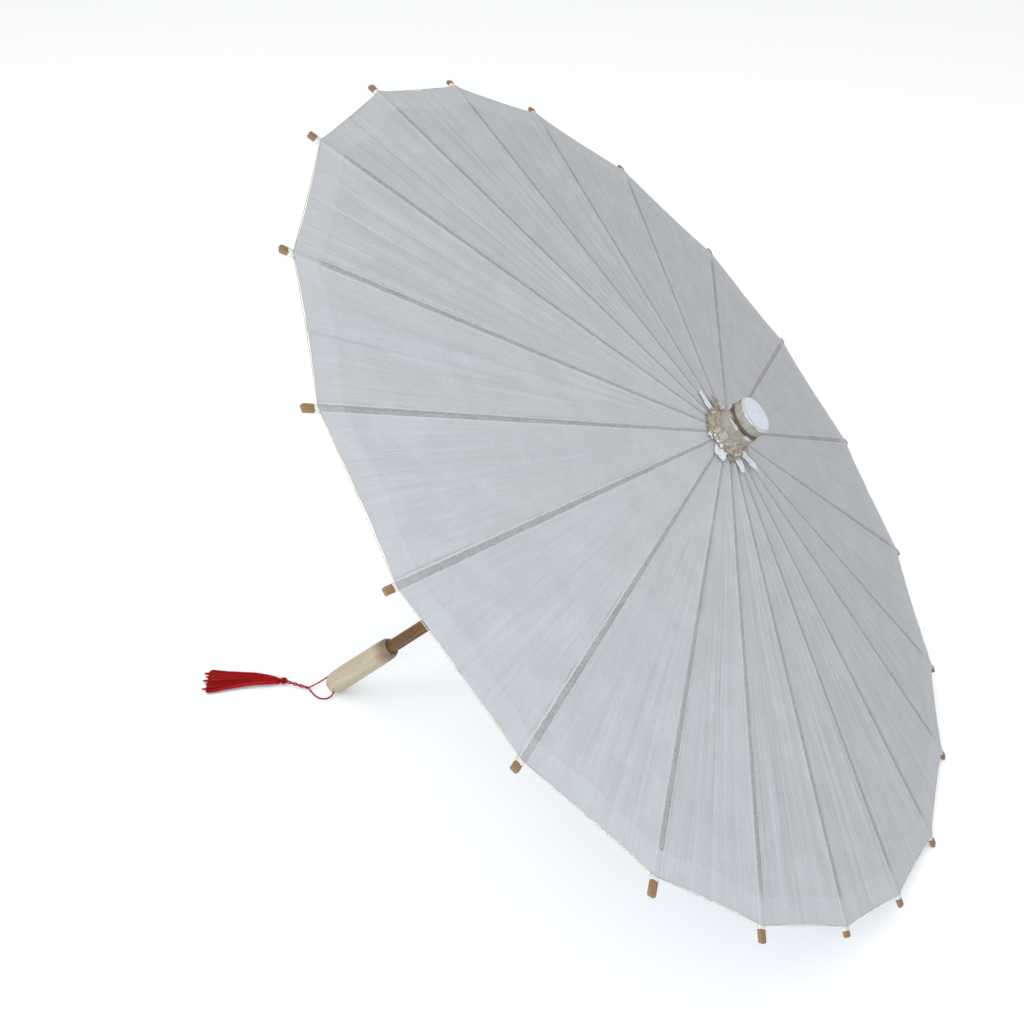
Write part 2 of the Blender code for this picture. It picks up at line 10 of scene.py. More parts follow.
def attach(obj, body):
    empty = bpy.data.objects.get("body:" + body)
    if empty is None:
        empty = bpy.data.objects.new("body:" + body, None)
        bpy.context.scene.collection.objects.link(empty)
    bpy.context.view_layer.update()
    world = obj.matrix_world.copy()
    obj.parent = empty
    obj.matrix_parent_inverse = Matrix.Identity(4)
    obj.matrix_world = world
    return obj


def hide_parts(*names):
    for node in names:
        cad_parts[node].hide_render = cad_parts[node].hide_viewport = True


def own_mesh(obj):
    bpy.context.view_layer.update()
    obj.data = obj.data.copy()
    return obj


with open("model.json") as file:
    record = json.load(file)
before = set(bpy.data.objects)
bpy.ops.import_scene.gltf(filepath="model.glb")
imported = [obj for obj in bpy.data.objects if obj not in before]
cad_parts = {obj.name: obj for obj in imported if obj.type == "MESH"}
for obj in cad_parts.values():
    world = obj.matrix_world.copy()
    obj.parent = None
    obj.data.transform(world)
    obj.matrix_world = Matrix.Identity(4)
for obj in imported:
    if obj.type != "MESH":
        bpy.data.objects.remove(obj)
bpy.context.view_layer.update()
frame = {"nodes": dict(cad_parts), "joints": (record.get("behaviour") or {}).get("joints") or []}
JOINTS = {j["name"]: j for j in frame["joints"]}

# ------------------------------------------------------------------ the umbrella's own frame
RIBS = 20
CANOPY_R = 0.420
OPEN, CLOSED = math.radians(79.5), math.radians(2.2)
PIVOT_R = 0.015
RIB_H = 0.0035
PAPER, PAPER_GAP = 0.00015, 0.00055
SLOPE = 1.0 / math.tan(OPEN)
PIVOT_Z = -PIVOT_R * SLOPE - (RIB_H / 2 + PAPER_GAP + PAPER) / math.sin(OPEN)
RIM_X = (CANOPY_R - PIVOT_R) / math.sin(OPEN)
RIB_PAST = 0.0100
RIB_LEN = RIM_X + RIB_PAST
HAND = {1: 0.5, 2: -0.6, 5: 0.5, 7: -1.1, 9: 0.8, 10: 0.7, 11: -1.0, 12: 0.6, 13: -0.7, 14: -0.8, 15: 0.2, 17: 0.7, 19: -0.7}
JOINT_A, JOINT_E = 0.185, 0.0035
ARM = math.hypot(JOINT_A, JOINT_E)
OPEN_J = OPEN - math.asin(JOINT_E / ARM)
RUNNER_Z = PIVOT_Z - 2 * ARM * math.cos(OPEN_J)
POLE_R, POLE_TOP = 0.0067, 0.0180
SHOULDER, GRIP_END, GRIP_R = -0.4420, -0.5385, 0.0116
CORD_HOLE, CORD_HOLE_R, CORD_AZ = 0.0052, 0.0014, math.radians(72.0)
BLOCK_R, BLOCK_TOP, DISC_R, COLLAR_R = 0.0190, 0.0312, 0.0176, 0.0180
SLEEVE_R, SLEEVE_LEN, BORE_GAP = 0.0112, 0.0560, 0.00035
SLOT_W, SLOT_IN = 0.0024, 0.0128
CATCH_AZ, CATCH_W, CATCH_OUT = math.radians(-92.0), 0.0024, 0.0023
CORD_D = 0.0016


def rib_azimuth(k):
    p = math.radians(-360.0 * k / RIBS)
    wander = 2.98 * math.cos(p) + 3.25 * math.sin(p) - 1.05 * math.cos(2 * p) + 1.78 * math.sin(2 * p)
    return p + math.radians(wander + HAND.get(k, 0.0))


AZ = {k: rib_azimuth(k) for k in range(1, RIBS + 1)}
UP = -Vector(JOINTS["runner_slide"]["axis"]).normalized()
_t = Vector(JOINTS["rib_20_fold"]["axis"]).normalized()
_r = _t.cross(UP).normalized()
XL = _r * math.cos(AZ[20]) - _t * math.sin(AZ[20])
YL = _r * math.sin(AZ[20]) + _t * math.cos(AZ[20])
HUB = Vector(JOINTS["rib_20_fold"]["pos_m"]) - _r * PIVOT_R - UP * PIVOT_Z
U = np.array([XL, YL, UP], float)  # rows are the local axes
H0 = np.array(HUB, float)


def W(p):
    """Umbrella frame to row frame."""
    return np.asarray(p, float).reshape(-1, 3) @ U + H0


LOCAL = Matrix([list(XL) , list(YL), list(UP)]).transposed().to_4x4()
LOCAL.translation = HUB


def rib_axes(k):
    a = AZ[k]
    r = np.array((math.cos(a), math.sin(a), 0.0)) @ U
    t = np.array((-math.sin(a), math.cos(a), 0.0)) @ U
    z = np.array((0, 0, 1.0)) @ U
    d = math.sin(OPEN) * r - math.cos(OPEN) * z
    n = math.cos(OPEN) * r + math.sin(OPEN) * z
    p = H0 + PIVOT_R * r + PIVOT_Z * z
    return p, d, t, n


def rib_matrix(k):
    p, d, t, n = rib_axes(k)
    m = Matrix([list(d), list(t), list(n)]).transposed().to_4x4()
    m.translation = Vector(p)
    return m


def stretcher_matrix(k):
    p, d, t, n = rib_axes(k)
    a = AZ[k]
    r = np.array((math.cos(a), math.sin(a), 0.0)) @ U
    z = np.array((0, 0, 1.0)) @ U
    x = -math.sin(OPEN_J) * r - math.cos(OPEN_J) * z
    y = t
    w = np.cross(x, y)
    m = Matrix([list(x), list(y), list(w)]).transposed().to_4x4()
    m.translation = Vector(p + JOINT_A * d - JOINT_E * n)
    return m


# ------------------------------------------------------------------ camera
cam_data = bpy.data.cameras.new("camera")
cam_data.sensor_width = 36.0
cam_data.lens = 58.684
cam = bpy.data.objects.new("camera", cam_data)
bpy.context.scene.collection.objects.link(cam)
turn = np.array([(-0.6540128, 0.2804805, 0.7025651), (-0.1264132, 0.8751447, -0.4670556), (-0.7458462, -0.394274, -0.5368998)]) @ U
right, down, ahead = (Vector(v).normalized() for v in turn)
cam.matrix_world = Matrix([list(right), list(-down), list(-ahead)]).transposed().to_4x4()
cam.location = Vector(W((1.199697, 0.581956, 0.616205))[0])
bpy.context.scene.camera = cam


# ------------------------------------------------------------------ material kit
def nodes_of(name, colour=(0.8, 0.8, 0.8), rough=0.6, metal=0.0):
    m = bpy.data.materials.new(name)
    m.use_nodes = True
    nt = m.node_tree
    b = nt.nodes["Principled BSDF"]
    b.inputs["Base Color"].default_value = (*colour, 1)
    b.inputs["Roughness"].default_value = rough
    b.inputs["Metallic"].default_value = metal
    return m, nt, b


class Graph:
    def __init__(self, nt):
        self.nt = nt

    def node(self, kind, **kw):
        n = self.nt.nodes.new(kind)
        for k, v in kw.items():
            setattr(n, k, v)
        return n

    def link(self, a, b):
        self.nt.links.new(a, b)

    def attr(self, name):
        return self.node("ShaderNodeAttribute", attribute_name=name)

    def math(self, op, a, b=None, c=None, clamp=False):
        n = self.node("ShaderNodeMath", operation=op, use_clamp=clamp)
        for i, v in enumerate((a, b, c)):
            if v is None:
                continue
            if isinstance(v, (int, float)):
                n.inputs[i].default_value = v
            else:
                self.link(v, n.inputs[i])
        return n.outputs[0]

    def scaled(self, vec, scale, offset=(0, 0, 0)):
        n = self.node("ShaderNodeMapping")
        n.inputs["Scale"].default_value = scale
        n.inputs["Location"].default_value = offset
        self.link(vec, n.inputs["Vector"])
        return n.outputs[0]

    def noise(self, vec, scale, detail=3.0, rough=0.55, dist=0.0, out="Fac"):
        n = self.node("ShaderNodeTexNoise")
        n.inputs["Scale"].default_value = scale
        n.inputs["Detail"].default_value = detail
        n.inputs["Roughness"].default_value = rough
        n.inputs["Distortion"].default_value = dist
        self.link(vec, n.inputs["Vector"])
        return n.outputs[out]

    def ramp(self, fac, stops, interp="LINEAR"):
        n = self.node("ShaderNodeValToRGB")
        n.color_ramp.interpolation = interp
        els = n.color_ramp.elements
        while len(els) > 1:
            els.remove(els[-1])
        els[0].position = stops[0][0]
        els[0].color = stops[0][1] if len(stops[0][1]) == 4 else (*stops[0][1], 1)
        for p, c in stops[1:]:
            e = els.new(p)
            e.color = c if len(c) == 4 else (*c, 1)
        self.link(fac, n.inputs[0])
        return n.outputs[0]

    def step(self, fac, lo, hi):
        """0 below lo, 1 above hi (or falling if lo > hi)."""
        n = self.node("ShaderNodeMapRange", interpolation_type="SMOOTHSTEP")
        a, b, c, d = (lo, hi, 0.0, 1.0) if lo < hi else (hi, lo, 1.0, 0.0)
        for i, v in ((1, a), (2, b), (3, c), (4, d)):
            n.inputs[i].default_value = v
        self.link(fac, n.inputs[0])
        return n.outputs[0]

    def mix(self, fac, a, b, blend="MIX"):
        n = self.node("ShaderNodeMix", data_type="RGBA", blend_type=blend)
        for s, v in ((n.inputs[0], fac), (n.inputs[6], a), (n.inputs[7], b)):
            if isinstance(v, (int, float)):
                s.default_value = v
            elif isinstance(v, tuple):
                s.default_value = (*v, 1) if len(v) == 3 else v
            else:
                self.link(v, s)
        return n.outputs[2]

    def bump(self, height, strength, distance, base=None):
        n = self.node("ShaderNodeBump")
        n.inputs["Strength"].default_value = strength
        n.inputs["Distance"].default_value = distance
        self.link(height, n.inputs["Height"])
        if base is not None:
            self.link(base, n.inputs["Normal"])
        return n.outputs[0]


def grain_material(name, dark, mid, light, rough, along=9.0, across=900.0, bump=0.25, rings=0.0, blotch=0.25, spec=0.4):
    """Wood or bamboo: fibres run along the piece's own x axis, read from its loc attribute."""
    m, nt, b = nodes_of(name, mid, rough)
    g = Graph(nt)
    loc = g.attr("loc").outputs["Vector"]
    fibre = g.noise(g.scaled(loc, (along, across, across)), 1.0, 4.0, 0.6, 0.15)
    fine = g.noise(g.scaled(loc, (along * 5, across * 3.2, across * 3.2)), 1.0, 2.0, 0.5)
    colour = g.ramp(fibre, [(0.28, dark), (0.50, mid), (0.74, light)])
    colour = g.mix(g.math("MULTIPLY", g.step(fine, 0.52, 0.72), 0.35), colour, dark)
    cloud = g.noise(g.scaled(loc, (28, 60, 60), (3.1, 1.7, 0.4)), 1.0, 3.0, 0.5)
    colour = g.mix(g.math("MULTIPLY", g.step(cloud, 0.42, 0.70), blotch), colour, dark)
    if rings:
        ring = g.noise(g.scaled(loc, (rings, 3, 3)), 1.0, 2.0, 0.5)
        colour = g.mix(g.math("MULTIPLY", g.step(ring, 0.56, 0.70), 0.22), colour, dark)
    g.link(colour, b.inputs["Base Color"])
    g.link(g.math("ADD", g.math("MULTIPLY", fibre, 0.22), rough - 0.11), b.inputs["Roughness"])
    g.link(g.bump(g.math("ADD", fibre, g.math("MULTIPLY", fine, 0.5)), bump, 0.00025), b.inputs["Normal"])
    b.inputs["Specular IOR Level"].default_value = spec
    return m


M_BAMBOO = grain_material("bamboo", (0.085, 0.048, 0.022), (0.235, 0.142, 0.064), (0.360, 0.235, 0.118), 0.55, spec=0.3)
M_SPLIT = grain_material("split_bamboo", (0.250, 0.160, 0.080), (0.440, 0.320, 0.175), (0.560, 0.430, 0.260), 0.58)
M_POLE = grain_material("pole_wood", (0.055, 0.026, 0.009), (0.140, 0.072, 0.026), (0.235, 0.132, 0.056), 0.50, along=6, across=520, bump=0.2, spec=0.25)
M_RUNNER = grain_material("runner_wood", (0.190, 0.135, 0.075), (0.320, 0.250, 0.150), (0.410, 0.335, 0.215), 0.58, along=16, across=420)


def grip_material():
    m, nt, b = nodes_of("grip_wood", (0.50, 0.42, 0.28), 0.48)
    g = Graph(nt)
    loc = g.attr("loc").outputs["Vector"]
    fibre = g.noise(g.scaled(loc, (14, 260, 260)), 1.0, 4.0, 0.6, 0.3)
    fine = g.noise(g.scaled(loc, (90, 1900, 1900)), 1.0, 2.0, 0.5)
    c = g.ramp(fibre, [(0.30, (0.330, 0.262, 0.168)), (0.52, (0.428, 0.358, 0.250)), (0.75, (0.500, 0.432, 0.318))])
    c = g.mix(g.math("MULTIPLY", g.step(fine, 0.55, 0.75), 0.30), c, (0.36, 0.27, 0.16))
    cloud = g.noise(g.scaled(loc, (40, 90, 90), (0.3, 2.0, 5.0)), 1.0, 3.0, 0.5)
    c = g.mix(g.math("MULTIPLY", g.step(cloud, 0.45, 0.70), 0.35), c, (0.44, 0.36, 0.23))
    # handled, darker wood at the shoulder; loc.x is 0 at the end of the grip
    sep = g.node("ShaderNodeSeparateXYZ")
    g.link(loc, sep.inputs[0])
    x = g.math("ADD", sep.outputs[0], g.math("MULTIPLY", g.math("SUBTRACT", cloud, 0.5), 0.010))
    c = g.mix(g.math("MULTIPLY", g.step(x, 0.074, 0.0955), 0.88), c, (0.150, 0.092, 0.044))
    c = g.mix(g.math("MULTIPLY", g.step(x, 0.007, 0.000), 0.30), c, (0.30, 0.22, 0.12))
    turn = g.noise(g.scaled(loc, (2600, 6, 6)), 1.0, 1.0, 0.5)
    g.link(c, b.inputs["Base Color"])
    g.link(g.math("ADD", g.math("MULTIPLY", cloud, 0.25), 0.38), b.inputs["Roughness"])
    g.link(g.bump(g.math("ADD", g.math("MULTIPLY", turn, 0.4), fine), 0.22, 0.0002), b.inputs["Normal"])
    b.inputs["Coat Weight"].default_value = 0.08
    b.inputs["Coat Roughness"].default_value = 0.35
    return m


M_GRIP = grip_material()


def crown_material():
    m, nt, b = nodes_of("crown_wood", (0.36, 0.32, 0.26), 0.75)
    g = Graph(nt)
    loc = g.attr("loc").outputs["Vector"]
    cloud = g.noise(loc, 130, 4.0, 0.6, 0.6)
    weave_a = g.noise(g.scaled(loc, (2400, 500, 500)), 1.0, 2.0, 0.5)
    weave_b = g.noise(g.scaled(loc, (420, 2100, 2100)), 1.0, 2.0, 0.5)
    c = g.ramp(cloud, [(0.30, (0.205, 0.176, 0.138)), (0.52, (0.290, 0.258, 0.212)), (0.72, (0.360, 0.332, 0.286))])
    c = g.mix(g.math("MULTIPLY", g.step(weave_a, 0.50, 0.66), 0.30), c, (0.235, 0.200, 0.145))
    c = g.mix(g.math("MULTIPLY", g.step(weave_b, 0.54, 0.70), 0.25), c, (0.50, 0.47, 0.42))
    sep = g.node("ShaderNodeSeparateXYZ")
    g.link(loc, sep.inputs[0])
    # the groove and the foot are in dirt and shade
    groove = g.math("MULTIPLY", g.step(sep.outputs[0], 0.0168, 0.0183), g.step(sep.outputs[0], 0.0222, 0.0207))
    c = g.mix(g.math("MULTIPLY", groove, 0.80), c, (0.085, 0.062, 0.040))
    torn = g.math("MULTIPLY", g.step(sep.outputs[0], 0.0152, 0.0168), g.step(sep.outputs[0], 0.0186, 0.0178))
    c = g.mix(g.math("MULTIPLY", g.math("MULTIPLY", torn, g.step(cloud, 0.44, 0.56)), 0.62), c, (0.600, 0.590, 0.555))
    wrapped = g.math("ADD", sep.outputs[0], g.math("MULTIPLY", g.math("SUBTRACT", cloud, 0.5), 0.006))
    c = g.mix(g.math("MULTIPLY", g.step(wrapped, 0.0288, 0.0302), 0.62), c, (0.600, 0.615, 0.630))
    foot = g.math("MULTIPLY", g.step(sep.outputs[0], 0.006, -0.004), g.step(cloud, 0.38, 0.55))
    c = g.mix(g.math("MULTIPLY", foot, 0.55), c, (0.16, 0.12, 0.08))
    g.link(c, b.inputs["Base Color"])
    g.link(g.bump(g.math("ADD", g.math("ADD", weave_a, weave_b), g.math("MULTIPLY", cloud, 2.0)), 0.40, 0.00035), b.inputs["Normal"])
    return m


M_CROWN = crown_material()


def plain_paper(name, colour, dark, rough=0.75, scale=1.0, bump=0.3, translucent=0.0):
    m, nt, b = nodes_of(name, colour, rough)
    g = Graph(nt)
    loc = g.attr("loc").outputs["Vector"]
    cloud = g.noise(loc, 210 * scale, 4.0, 0.6, 0.4)
    fibre = g.noise(g.scaled(loc, (700, 2300, 900)), 1.0, 3.0, 0.6, 1.2)
    c = g.mix(g.math("MULTIPLY", g.step(cloud, 0.40, 0.72), 0.55), colour, dark)
    c = g.mix(g.math("MULTIPLY", g.step(fibre, 0.56, 0.70), 0.25), c, dark)
    g.link(c, b.inputs["Base Color"])
    g.link(g.bump(g.math("ADD", cloud, g.math("MULTIPLY", fibre, 0.5)), bump, 0.0004), b.inputs["Normal"])
    return m


M_DISC = plain_paper("disc_paper", (0.60, 0.64, 0.70), (0.50, 0.53, 0.57), scale=0.6, bump=0.2)
M_WRAP = plain_paper("wrap_paper", (0.62, 0.60, 0.55), (0.46, 0.40, 0.33))


def thread_material(name, colour, dark, plies=1500.0, rough=0.8, sheen=0.2):
    m, nt, b = nodes_of(name, colour, rough)
    g = Graph(nt)
    loc = g.attr("loc").outputs["Vector"]
    ply = g.noise(g.scaled(loc, (plies, plies * 0.6, plies * 0.6)), 1.0, 2.0, 0.5, 0.5)
    c = g.mix(g.step(ply, 0.42, 0.62), dark, colour)
    g.link(c, b.inputs["Base Color"])
    g.link(g.bump(ply, 0.5, 0.0002), b.inputs["Normal"])
    b.inputs["Sheen Weight"].default_value = sheen
    return m


M_THREAD = thread_material("thread", (0.60, 0.55, 0.44), (0.36, 0.31, 0.22))


def red_material(name, twist):
    m, nt, b = nodes_of(name, (0.42, 0.006, 0.006), 0.60)
    g = Graph(nt)
    tint = g.attr("tint").outputs["Fac"]
    loc = g.attr("loc").outputs["Vector"]
    fine = g.noise(g.scaled(loc, (160, 2600, 2600) if not twist else (1500, 900, 900)), 1.0, 3.0, 0.6, 0.4)
    # tint runs from dark to light red; on the skirt it carries painted highlight and painted shade
    c = g.ramp(tint, [(0.0, (0.12, 0.0012, 0.0018)), (0.45, (0.34, 0.0030, 0.0034)), (1.0, (0.64, 0.0075, 0.0060))])
    c = g.mix(g.math("MULTIPLY", g.step(fine, 0.48, 0.66), 0.45), c, (0.17, 0.002, 0.003))
    g.link(c, b.inputs["Base Color"])
    g.link(g.bump(fine, 0.45, 0.0002), b.inputs["Normal"])
    b.inputs["Specular IOR Level"].default_value = 0.14
    return m


M_SILK = red_material("red_silk", False)
M_CORD = red_material("red_cord", True)


def brass_material():
    m, nt, b = nodes_of("catch_brass", (0.50, 0.36, 0.13), 0.35, 1.0)
    g = Graph(nt)
    loc = g.attr("loc").outputs["Vector"]
    n = g.noise(loc, 420, 4.0, 0.6)
    g.link(g.ramp(n, [(0.35, (0.30, 0.20, 0.075)), (0.60, (0.56, 0.41, 0.17))]), b.inputs["Base Color"])
    g.link(g.math("ADD", g.math("MULTIPLY", n, 0.35), 0.22), b.inputs["Roughness"])
    g.link(g.bump(n, 0.2, 0.0002), b.inputs["Normal"])
    return m


M_BRASS = brass_material()


def canopy_material():
    """Oiled fibre paper. gore holds metres across the rib, radius and the share across; fan holds turns of a gore, metres in from the rim and the gore's own number from 0 to 1."""
    m, nt, b = nodes_of("oiled_paper", (0.60, 0.61, 0.63), 0.66)
    g = Graph(nt)
    sep = g.node("ShaderNodeSeparateXYZ")
    g.link(g.attr("gore").outputs["Vector"], sep.inputs[0])
    t, rho = sep.outputs[0], sep.outputs[1]
    fsep = g.node("ShaderNodeSeparateXYZ")
    g.link(g.attr("fan").outputs["Vector"], fsep.inputs[0])
    ang, edge, own = fsep.outputs[0], fsep.outputs[1], fsep.outputs[2]
    loc = g.attr("loc").outputs["Vector"]

    def fan(turns, out, detail=3.0, rough=0.6, dist=0.25, shift=0.0):
        c = g.node("ShaderNodeCombineXYZ")
        g.link(g.math("MULTIPLY", ang, turns), c.inputs[0])
        g.link(g.math("MULTIPLY", rho, out), c.inputs[1])
        c.inputs[2].default_value = shift
        return g.noise(c.outputs[0], 1.0, detail, rough, dist)

    # pulp: clouds, then short fibres lying every way
    cloud = g.noise(loc, 30, 4.0, 0.55, 0.3)
    mottle = g.noise(loc, 120, 3.0, 0.6, 0.5)
    pulp = g.noise(loc, 420, 4.0, 0.62, 0.8)
    fib_a = g.noise(g.scaled(loc, (260, 1500, 700)), 1.0, 2.0, 0.6, 1.6)
    fib_b = g.noise(g.scaled(loc, (1500, 300, 600), (5, 3, 1)), 1.0, 2.0, 0.6, 1.6)
    colour = g.mix(g.step(cloud, 0.35, 0.68), (0.545, 0.555, 0.572), (0.588, 0.600, 0.619))
    colour = g.mix(g.math("MULTIPLY", g.step(mottle, 0.46, 0.70), 0.22), colour, (0.500, 0.508, 0.520))
    colour = g.mix(g.math("MULTIPLY", g.step(pulp, 0.46, 0.66), 0.26), colour, (0.485, 0.492, 0.505))
    colour = g.mix(g.math("MULTIPLY", g.step(fib_a, 0.57, 0.70), 0.36), colour, (0.700, 0.715, 0.735))
    colour = g.mix(g.math("MULTIPLY", g.step(fib_b, 0.59, 0.72), 0.32), colour, (0.700, 0.715, 0.735))

    # streaks that run out from the crown, where the sheet was drawn over the ribs
    broad = fan(9.0, 3.2, 3.0, 0.6, 0.4)
    streak = fan(30.0, 5.0, 3.0, 0.62, 0.25, 3.0)
    hair = fan(95.0, 9.0, 2.0, 0.6, 0.2, 7.0)
    thread = fan(190.0, 16.0, 2.0, 0.6, 0.15, 9.0)
    outward = g.step(rho, 0.06, 0.18)
    colour = g.mix(g.math("MULTIPLY", g.step(broad, 0.50, 0.72), 0.20), colour, (0.480, 0.485, 0.495))
    colour = g.mix(g.math("MULTIPLY", g.math("MULTIPLY", g.step(streak, 0.54, 0.72), outward), 0.28), colour, (0.465, 0.470, 0.482))
    colour = g.mix(g.math("MULTIPLY", g.math("MULTIPLY", g.step(streak, 0.44, 0.30), outward), 0.24), colour, (0.690, 0.704, 0.724))
    colour = g.mix(g.math("MULTIPLY", g.math("MULTIPLY", g.step(hair, 0.60, 0.70), outward), 0.26), colour, (0.700, 0.714, 0.734))
    colour = g.mix(g.math("MULTIPLY", g.math("MULTIPLY", g.step(hair, 0.40, 0.30), outward), 0.30), colour, (0.440, 0.444, 0.452))
    colour = g.mix(g.math("MULTIPLY", g.math("MULTIPLY", g.step(thread, 0.60, 0.68), outward), 0.16), colour, (0.460, 0.465, 0.475))

    # the rib under the paper, painted as a band of shade where it blocks the light that comes through the sheet, and
    # the glued strip that lies a little to one side of it
    speck = g.noise(loc, 560, 3.0, 0.72, 0.3)
    blot = g.noise(loc, 190, 3.0, 0.65, 0.3)
    patch = fan(3.0, 26.0, 3.0, 0.6, 0.2, 11.0)
    wander = g.math("MULTIPLY", g.math("SUBTRACT", blot, 0.5), 0.0020)
    shift = g.math("MULTIPLY", g.math("SUBTRACT", own, 0.5), 0.0014)
    off = g.math("ADD", g.math("ADD", t, wander), shift)
    half = g.math("ADD", g.math("MULTIPLY", rho, 0.0037), 0.00110)
    rel = g.math("DIVIDE", g.math("ABSOLUTE", off), half)
    # painted shade: the rib's shadow seen through the paper, speckled darker in its middle and with darker edges
    rib_shade_band = g.step(rel, 1.24, 0.86)
    dark = g.math("MULTIPLY", rib_shade_band, g.step(speck, 0.42, 0.58))
    keep = g.step(own, 0.30, 0.34)  # most bands fade under the hem
    fade = g.math("SUBTRACT", 1.0, g.math("MULTIPLY", g.math("MULTIPLY", g.step(edge, 0.030, 0.018), keep), 0.72))
    weight = g.math("MULTIPLY", fade, g.math("ADD", 0.30, g.math("MULTIPLY", patch, 1.10)))
    colour = g.mix(g.math("MULTIPLY", g.math("MULTIPLY", rib_shade_band, weight), 0.72), colour, (0.400, 0.392, 0.380))
    colour = g.mix(g.math("MULTIPLY", g.math("MULTIPLY", dark, weight), 0.60), colour, (0.285, 0.270, 0.245))
    line = g.math("MULTIPLY", g.step(rel, 0.80, 0.98), g.step(rel, 1.32, 1.10))
    colour = g.mix(g.math("MULTIPLY", g.math("MULTIPLY", line, weight), 0.40), colour, (0.300, 0.295, 0.285))
    side = g.math("SUBTRACT", g.math("MULTIPLY", g.step(own, 0.49, 0.51), 2.0), 1.0)
    beside = g.math("DIVIDE", g.math("MULTIPLY", off, side), half)
    light = g.math("MULTIPLY", g.step(beside, 1.10, 1.32), g.step(beside, 1.90, 1.60))
    colour = g.mix(g.math("MULTIPLY", light, 0.42), colour, (0.715, 0.730, 0.750))
    second = g.math("MULTIPLY", g.step(beside, 1.66, 1.84), g.step(beside, 2.60, 2.30))
    second = g.math("MULTIPLY", g.math("MULTIPLY", second, weight), g.step(patch, 0.44, 0.58))
    colour = g.mix(g.math("MULTIPLY", second, 0.50), colour, (0.400, 0.400, 0.402))
    other = g.math("MULTIPLY", g.step(beside, -1.15, -1.30), g.step(beside, -1.90, -1.55))
    colour = g.mix(g.math("MULTIPLY", other, 0.22), colour, (0.715, 0.730, 0.750))

    # the hem, two layers thick, with the faint line of its inner edge
    hemn = g.noise(loc, 46, 3.0, 0.55)
    bow = g.math("MULTIPLY", g.math("ABSOLUTE", t), 0.07)
    inner = g.math("ADD", g.math("ADD", 0.0215, bow), g.math("MULTIPLY", g.math("SUBTRACT", hemn, 0.5), 0.009))
    into = g.math("SUBTRACT", edge, inner)
    hem = g.step(into, 0.0022, -0.0022)
    colour = g.mix(g.math("MULTIPLY", g.math("MULTIPLY", hem, g.math("ADD", 0.35, mottle)), 0.26), colour, (0.672, 0.690, 0.712))
    hline = g.math("MULTIPLY", g.math("MULTIPLY", g.step(into, -0.0008, 0.0), g.step(into, 0.0018, 0.0004)), g.step(cloud, 0.42, 0.58))
    colour = g.mix(g.math("MULTIPLY", hline, 0.15), colour, (0.450, 0.455, 0.465))
    dot_r = g.math("MULTIPLY", g.step(g.math("ABSOLUTE", g.math("SUBTRACT", edge, 0.0220)), 0.0012, 0.0005), g.step(g.math("ABSOLUTE", t), 0.0011, 0.0005))
    colour = g.mix(g.math("MULTIPLY", g.math("MULTIPLY", dot_r, g.step(own, 0.88, 0.90)), 0.75), colour, (0.120, 0.095, 0.070))
    rim = g.step(edge, 0.0009, 0.0002)
    colour = g.mix(g.math("MULTIPLY", rim, 0.42), colour, (0.330, 0.315, 0.290))
    # darker, mottled paper close to the crown: painted shade where the sheet meets the block, with dirt
    crown = g.math("MULTIPLY", g.step(rho, 0.030, 0.0215), g.step(mottle, 0.36, 0.56))
    colour = g.mix(g.math("MULTIPLY", crown, 0.45), colour, (0.300, 0.275, 0.235))

    colour = g.scaled(colour, (0.860, 0.858, 0.856))
    g.link(colour, b.inputs["Base Color"])
    g.link(g.math("ADD", g.math("MULTIPLY", pulp, 0.24), 0.56), b.inputs["Roughness"])
    h = g.math("ADD", g.math("MULTIPLY", pulp, 0.45), g.math("MULTIPLY", fib_a, 0.30))
    h = g.math("ADD", h, g.math("MULTIPLY", g.math("MULTIPLY", streak, outward), 2.0))
    h = g.math("ADD", h, g.math("MULTIPLY", g.math("MULTIPLY", hair, outward), 0.9))
    h = g.math("ADD", h, g.math("MULTIPLY", hem, 0.5))
    h = g.math("ADD", h, g.math("MULTIPLY", rib_shade_band, 0.5))
    g.link(g.bump(h, 0.42, 0.0008), b.inputs["Normal"])
    b.inputs["Specular IOR Level"].default_value = 0.30
    # light that comes through the sheet
    out = nt.nodes["Material Output"]
    tr = g.node("ShaderNodeBsdfTranslucent")
    g.link(colour, tr.inputs["Color"])
    mixer = g.node("ShaderNodeMixShader")
    mixer.inputs[0].default_value = 0.14
    g.link(b.outputs[0], mixer.inputs[1])
    g.link(tr.outputs[0], mixer.inputs[2])
    g.link(mixer.outputs[0], out.inputs["Surface"])
    return m


M_CANOPY = canopy_material()


# ------------------------------------------------------------------ mesh kit
def link(obj):
    bpy.context.scene.collection.objects.link(obj)
    return obj


def stamp(obj, matrix=None, name="loc"):
    """Writes each vertex's place in the piece's own frame, which the materials read."""
    me = obj.data
    a = me.attributes.get(name) or me.attributes.new(name, "FLOAT_VECTOR", "POINT")
    inv = np.array((matrix or Matrix.Identity(4)).inverted(), float)
    co = np.zeros(len(me.vertices) * 3, np.float32)
    me.vertices.foreach_get("co", co)
    p = co.reshape(-1, 3) @ inv[:3, :3].T + inv[:3, 3]
    a.data.foreach_set("vector", p.astype(np.float32).ravel())


def make(name, points, faces, mat, smooth=40.0, frame_matrix=None, tint=None):
    me = bpy.data.meshes.new(name)
    me.from_pydata([tuple(map(float, p)) for p in points], [], [tuple(f) for f in faces])
    me.validate()
    me.update()
    if smooth:
        me.shade_smooth()
        if smooth < 179:
            me.set_sharp_from_angle(angle=math.radians(smooth))
    obj = link(bpy.data.objects.new(name, me))
    me.materials.append(mat)
    stamp(obj, frame_matrix)
    if tint is not None:
        a = me.attributes.new("tint", "FLOAT", "POINT")
        a.data.foreach_set("value", np.asarray(tint, np.float32))
    return obj


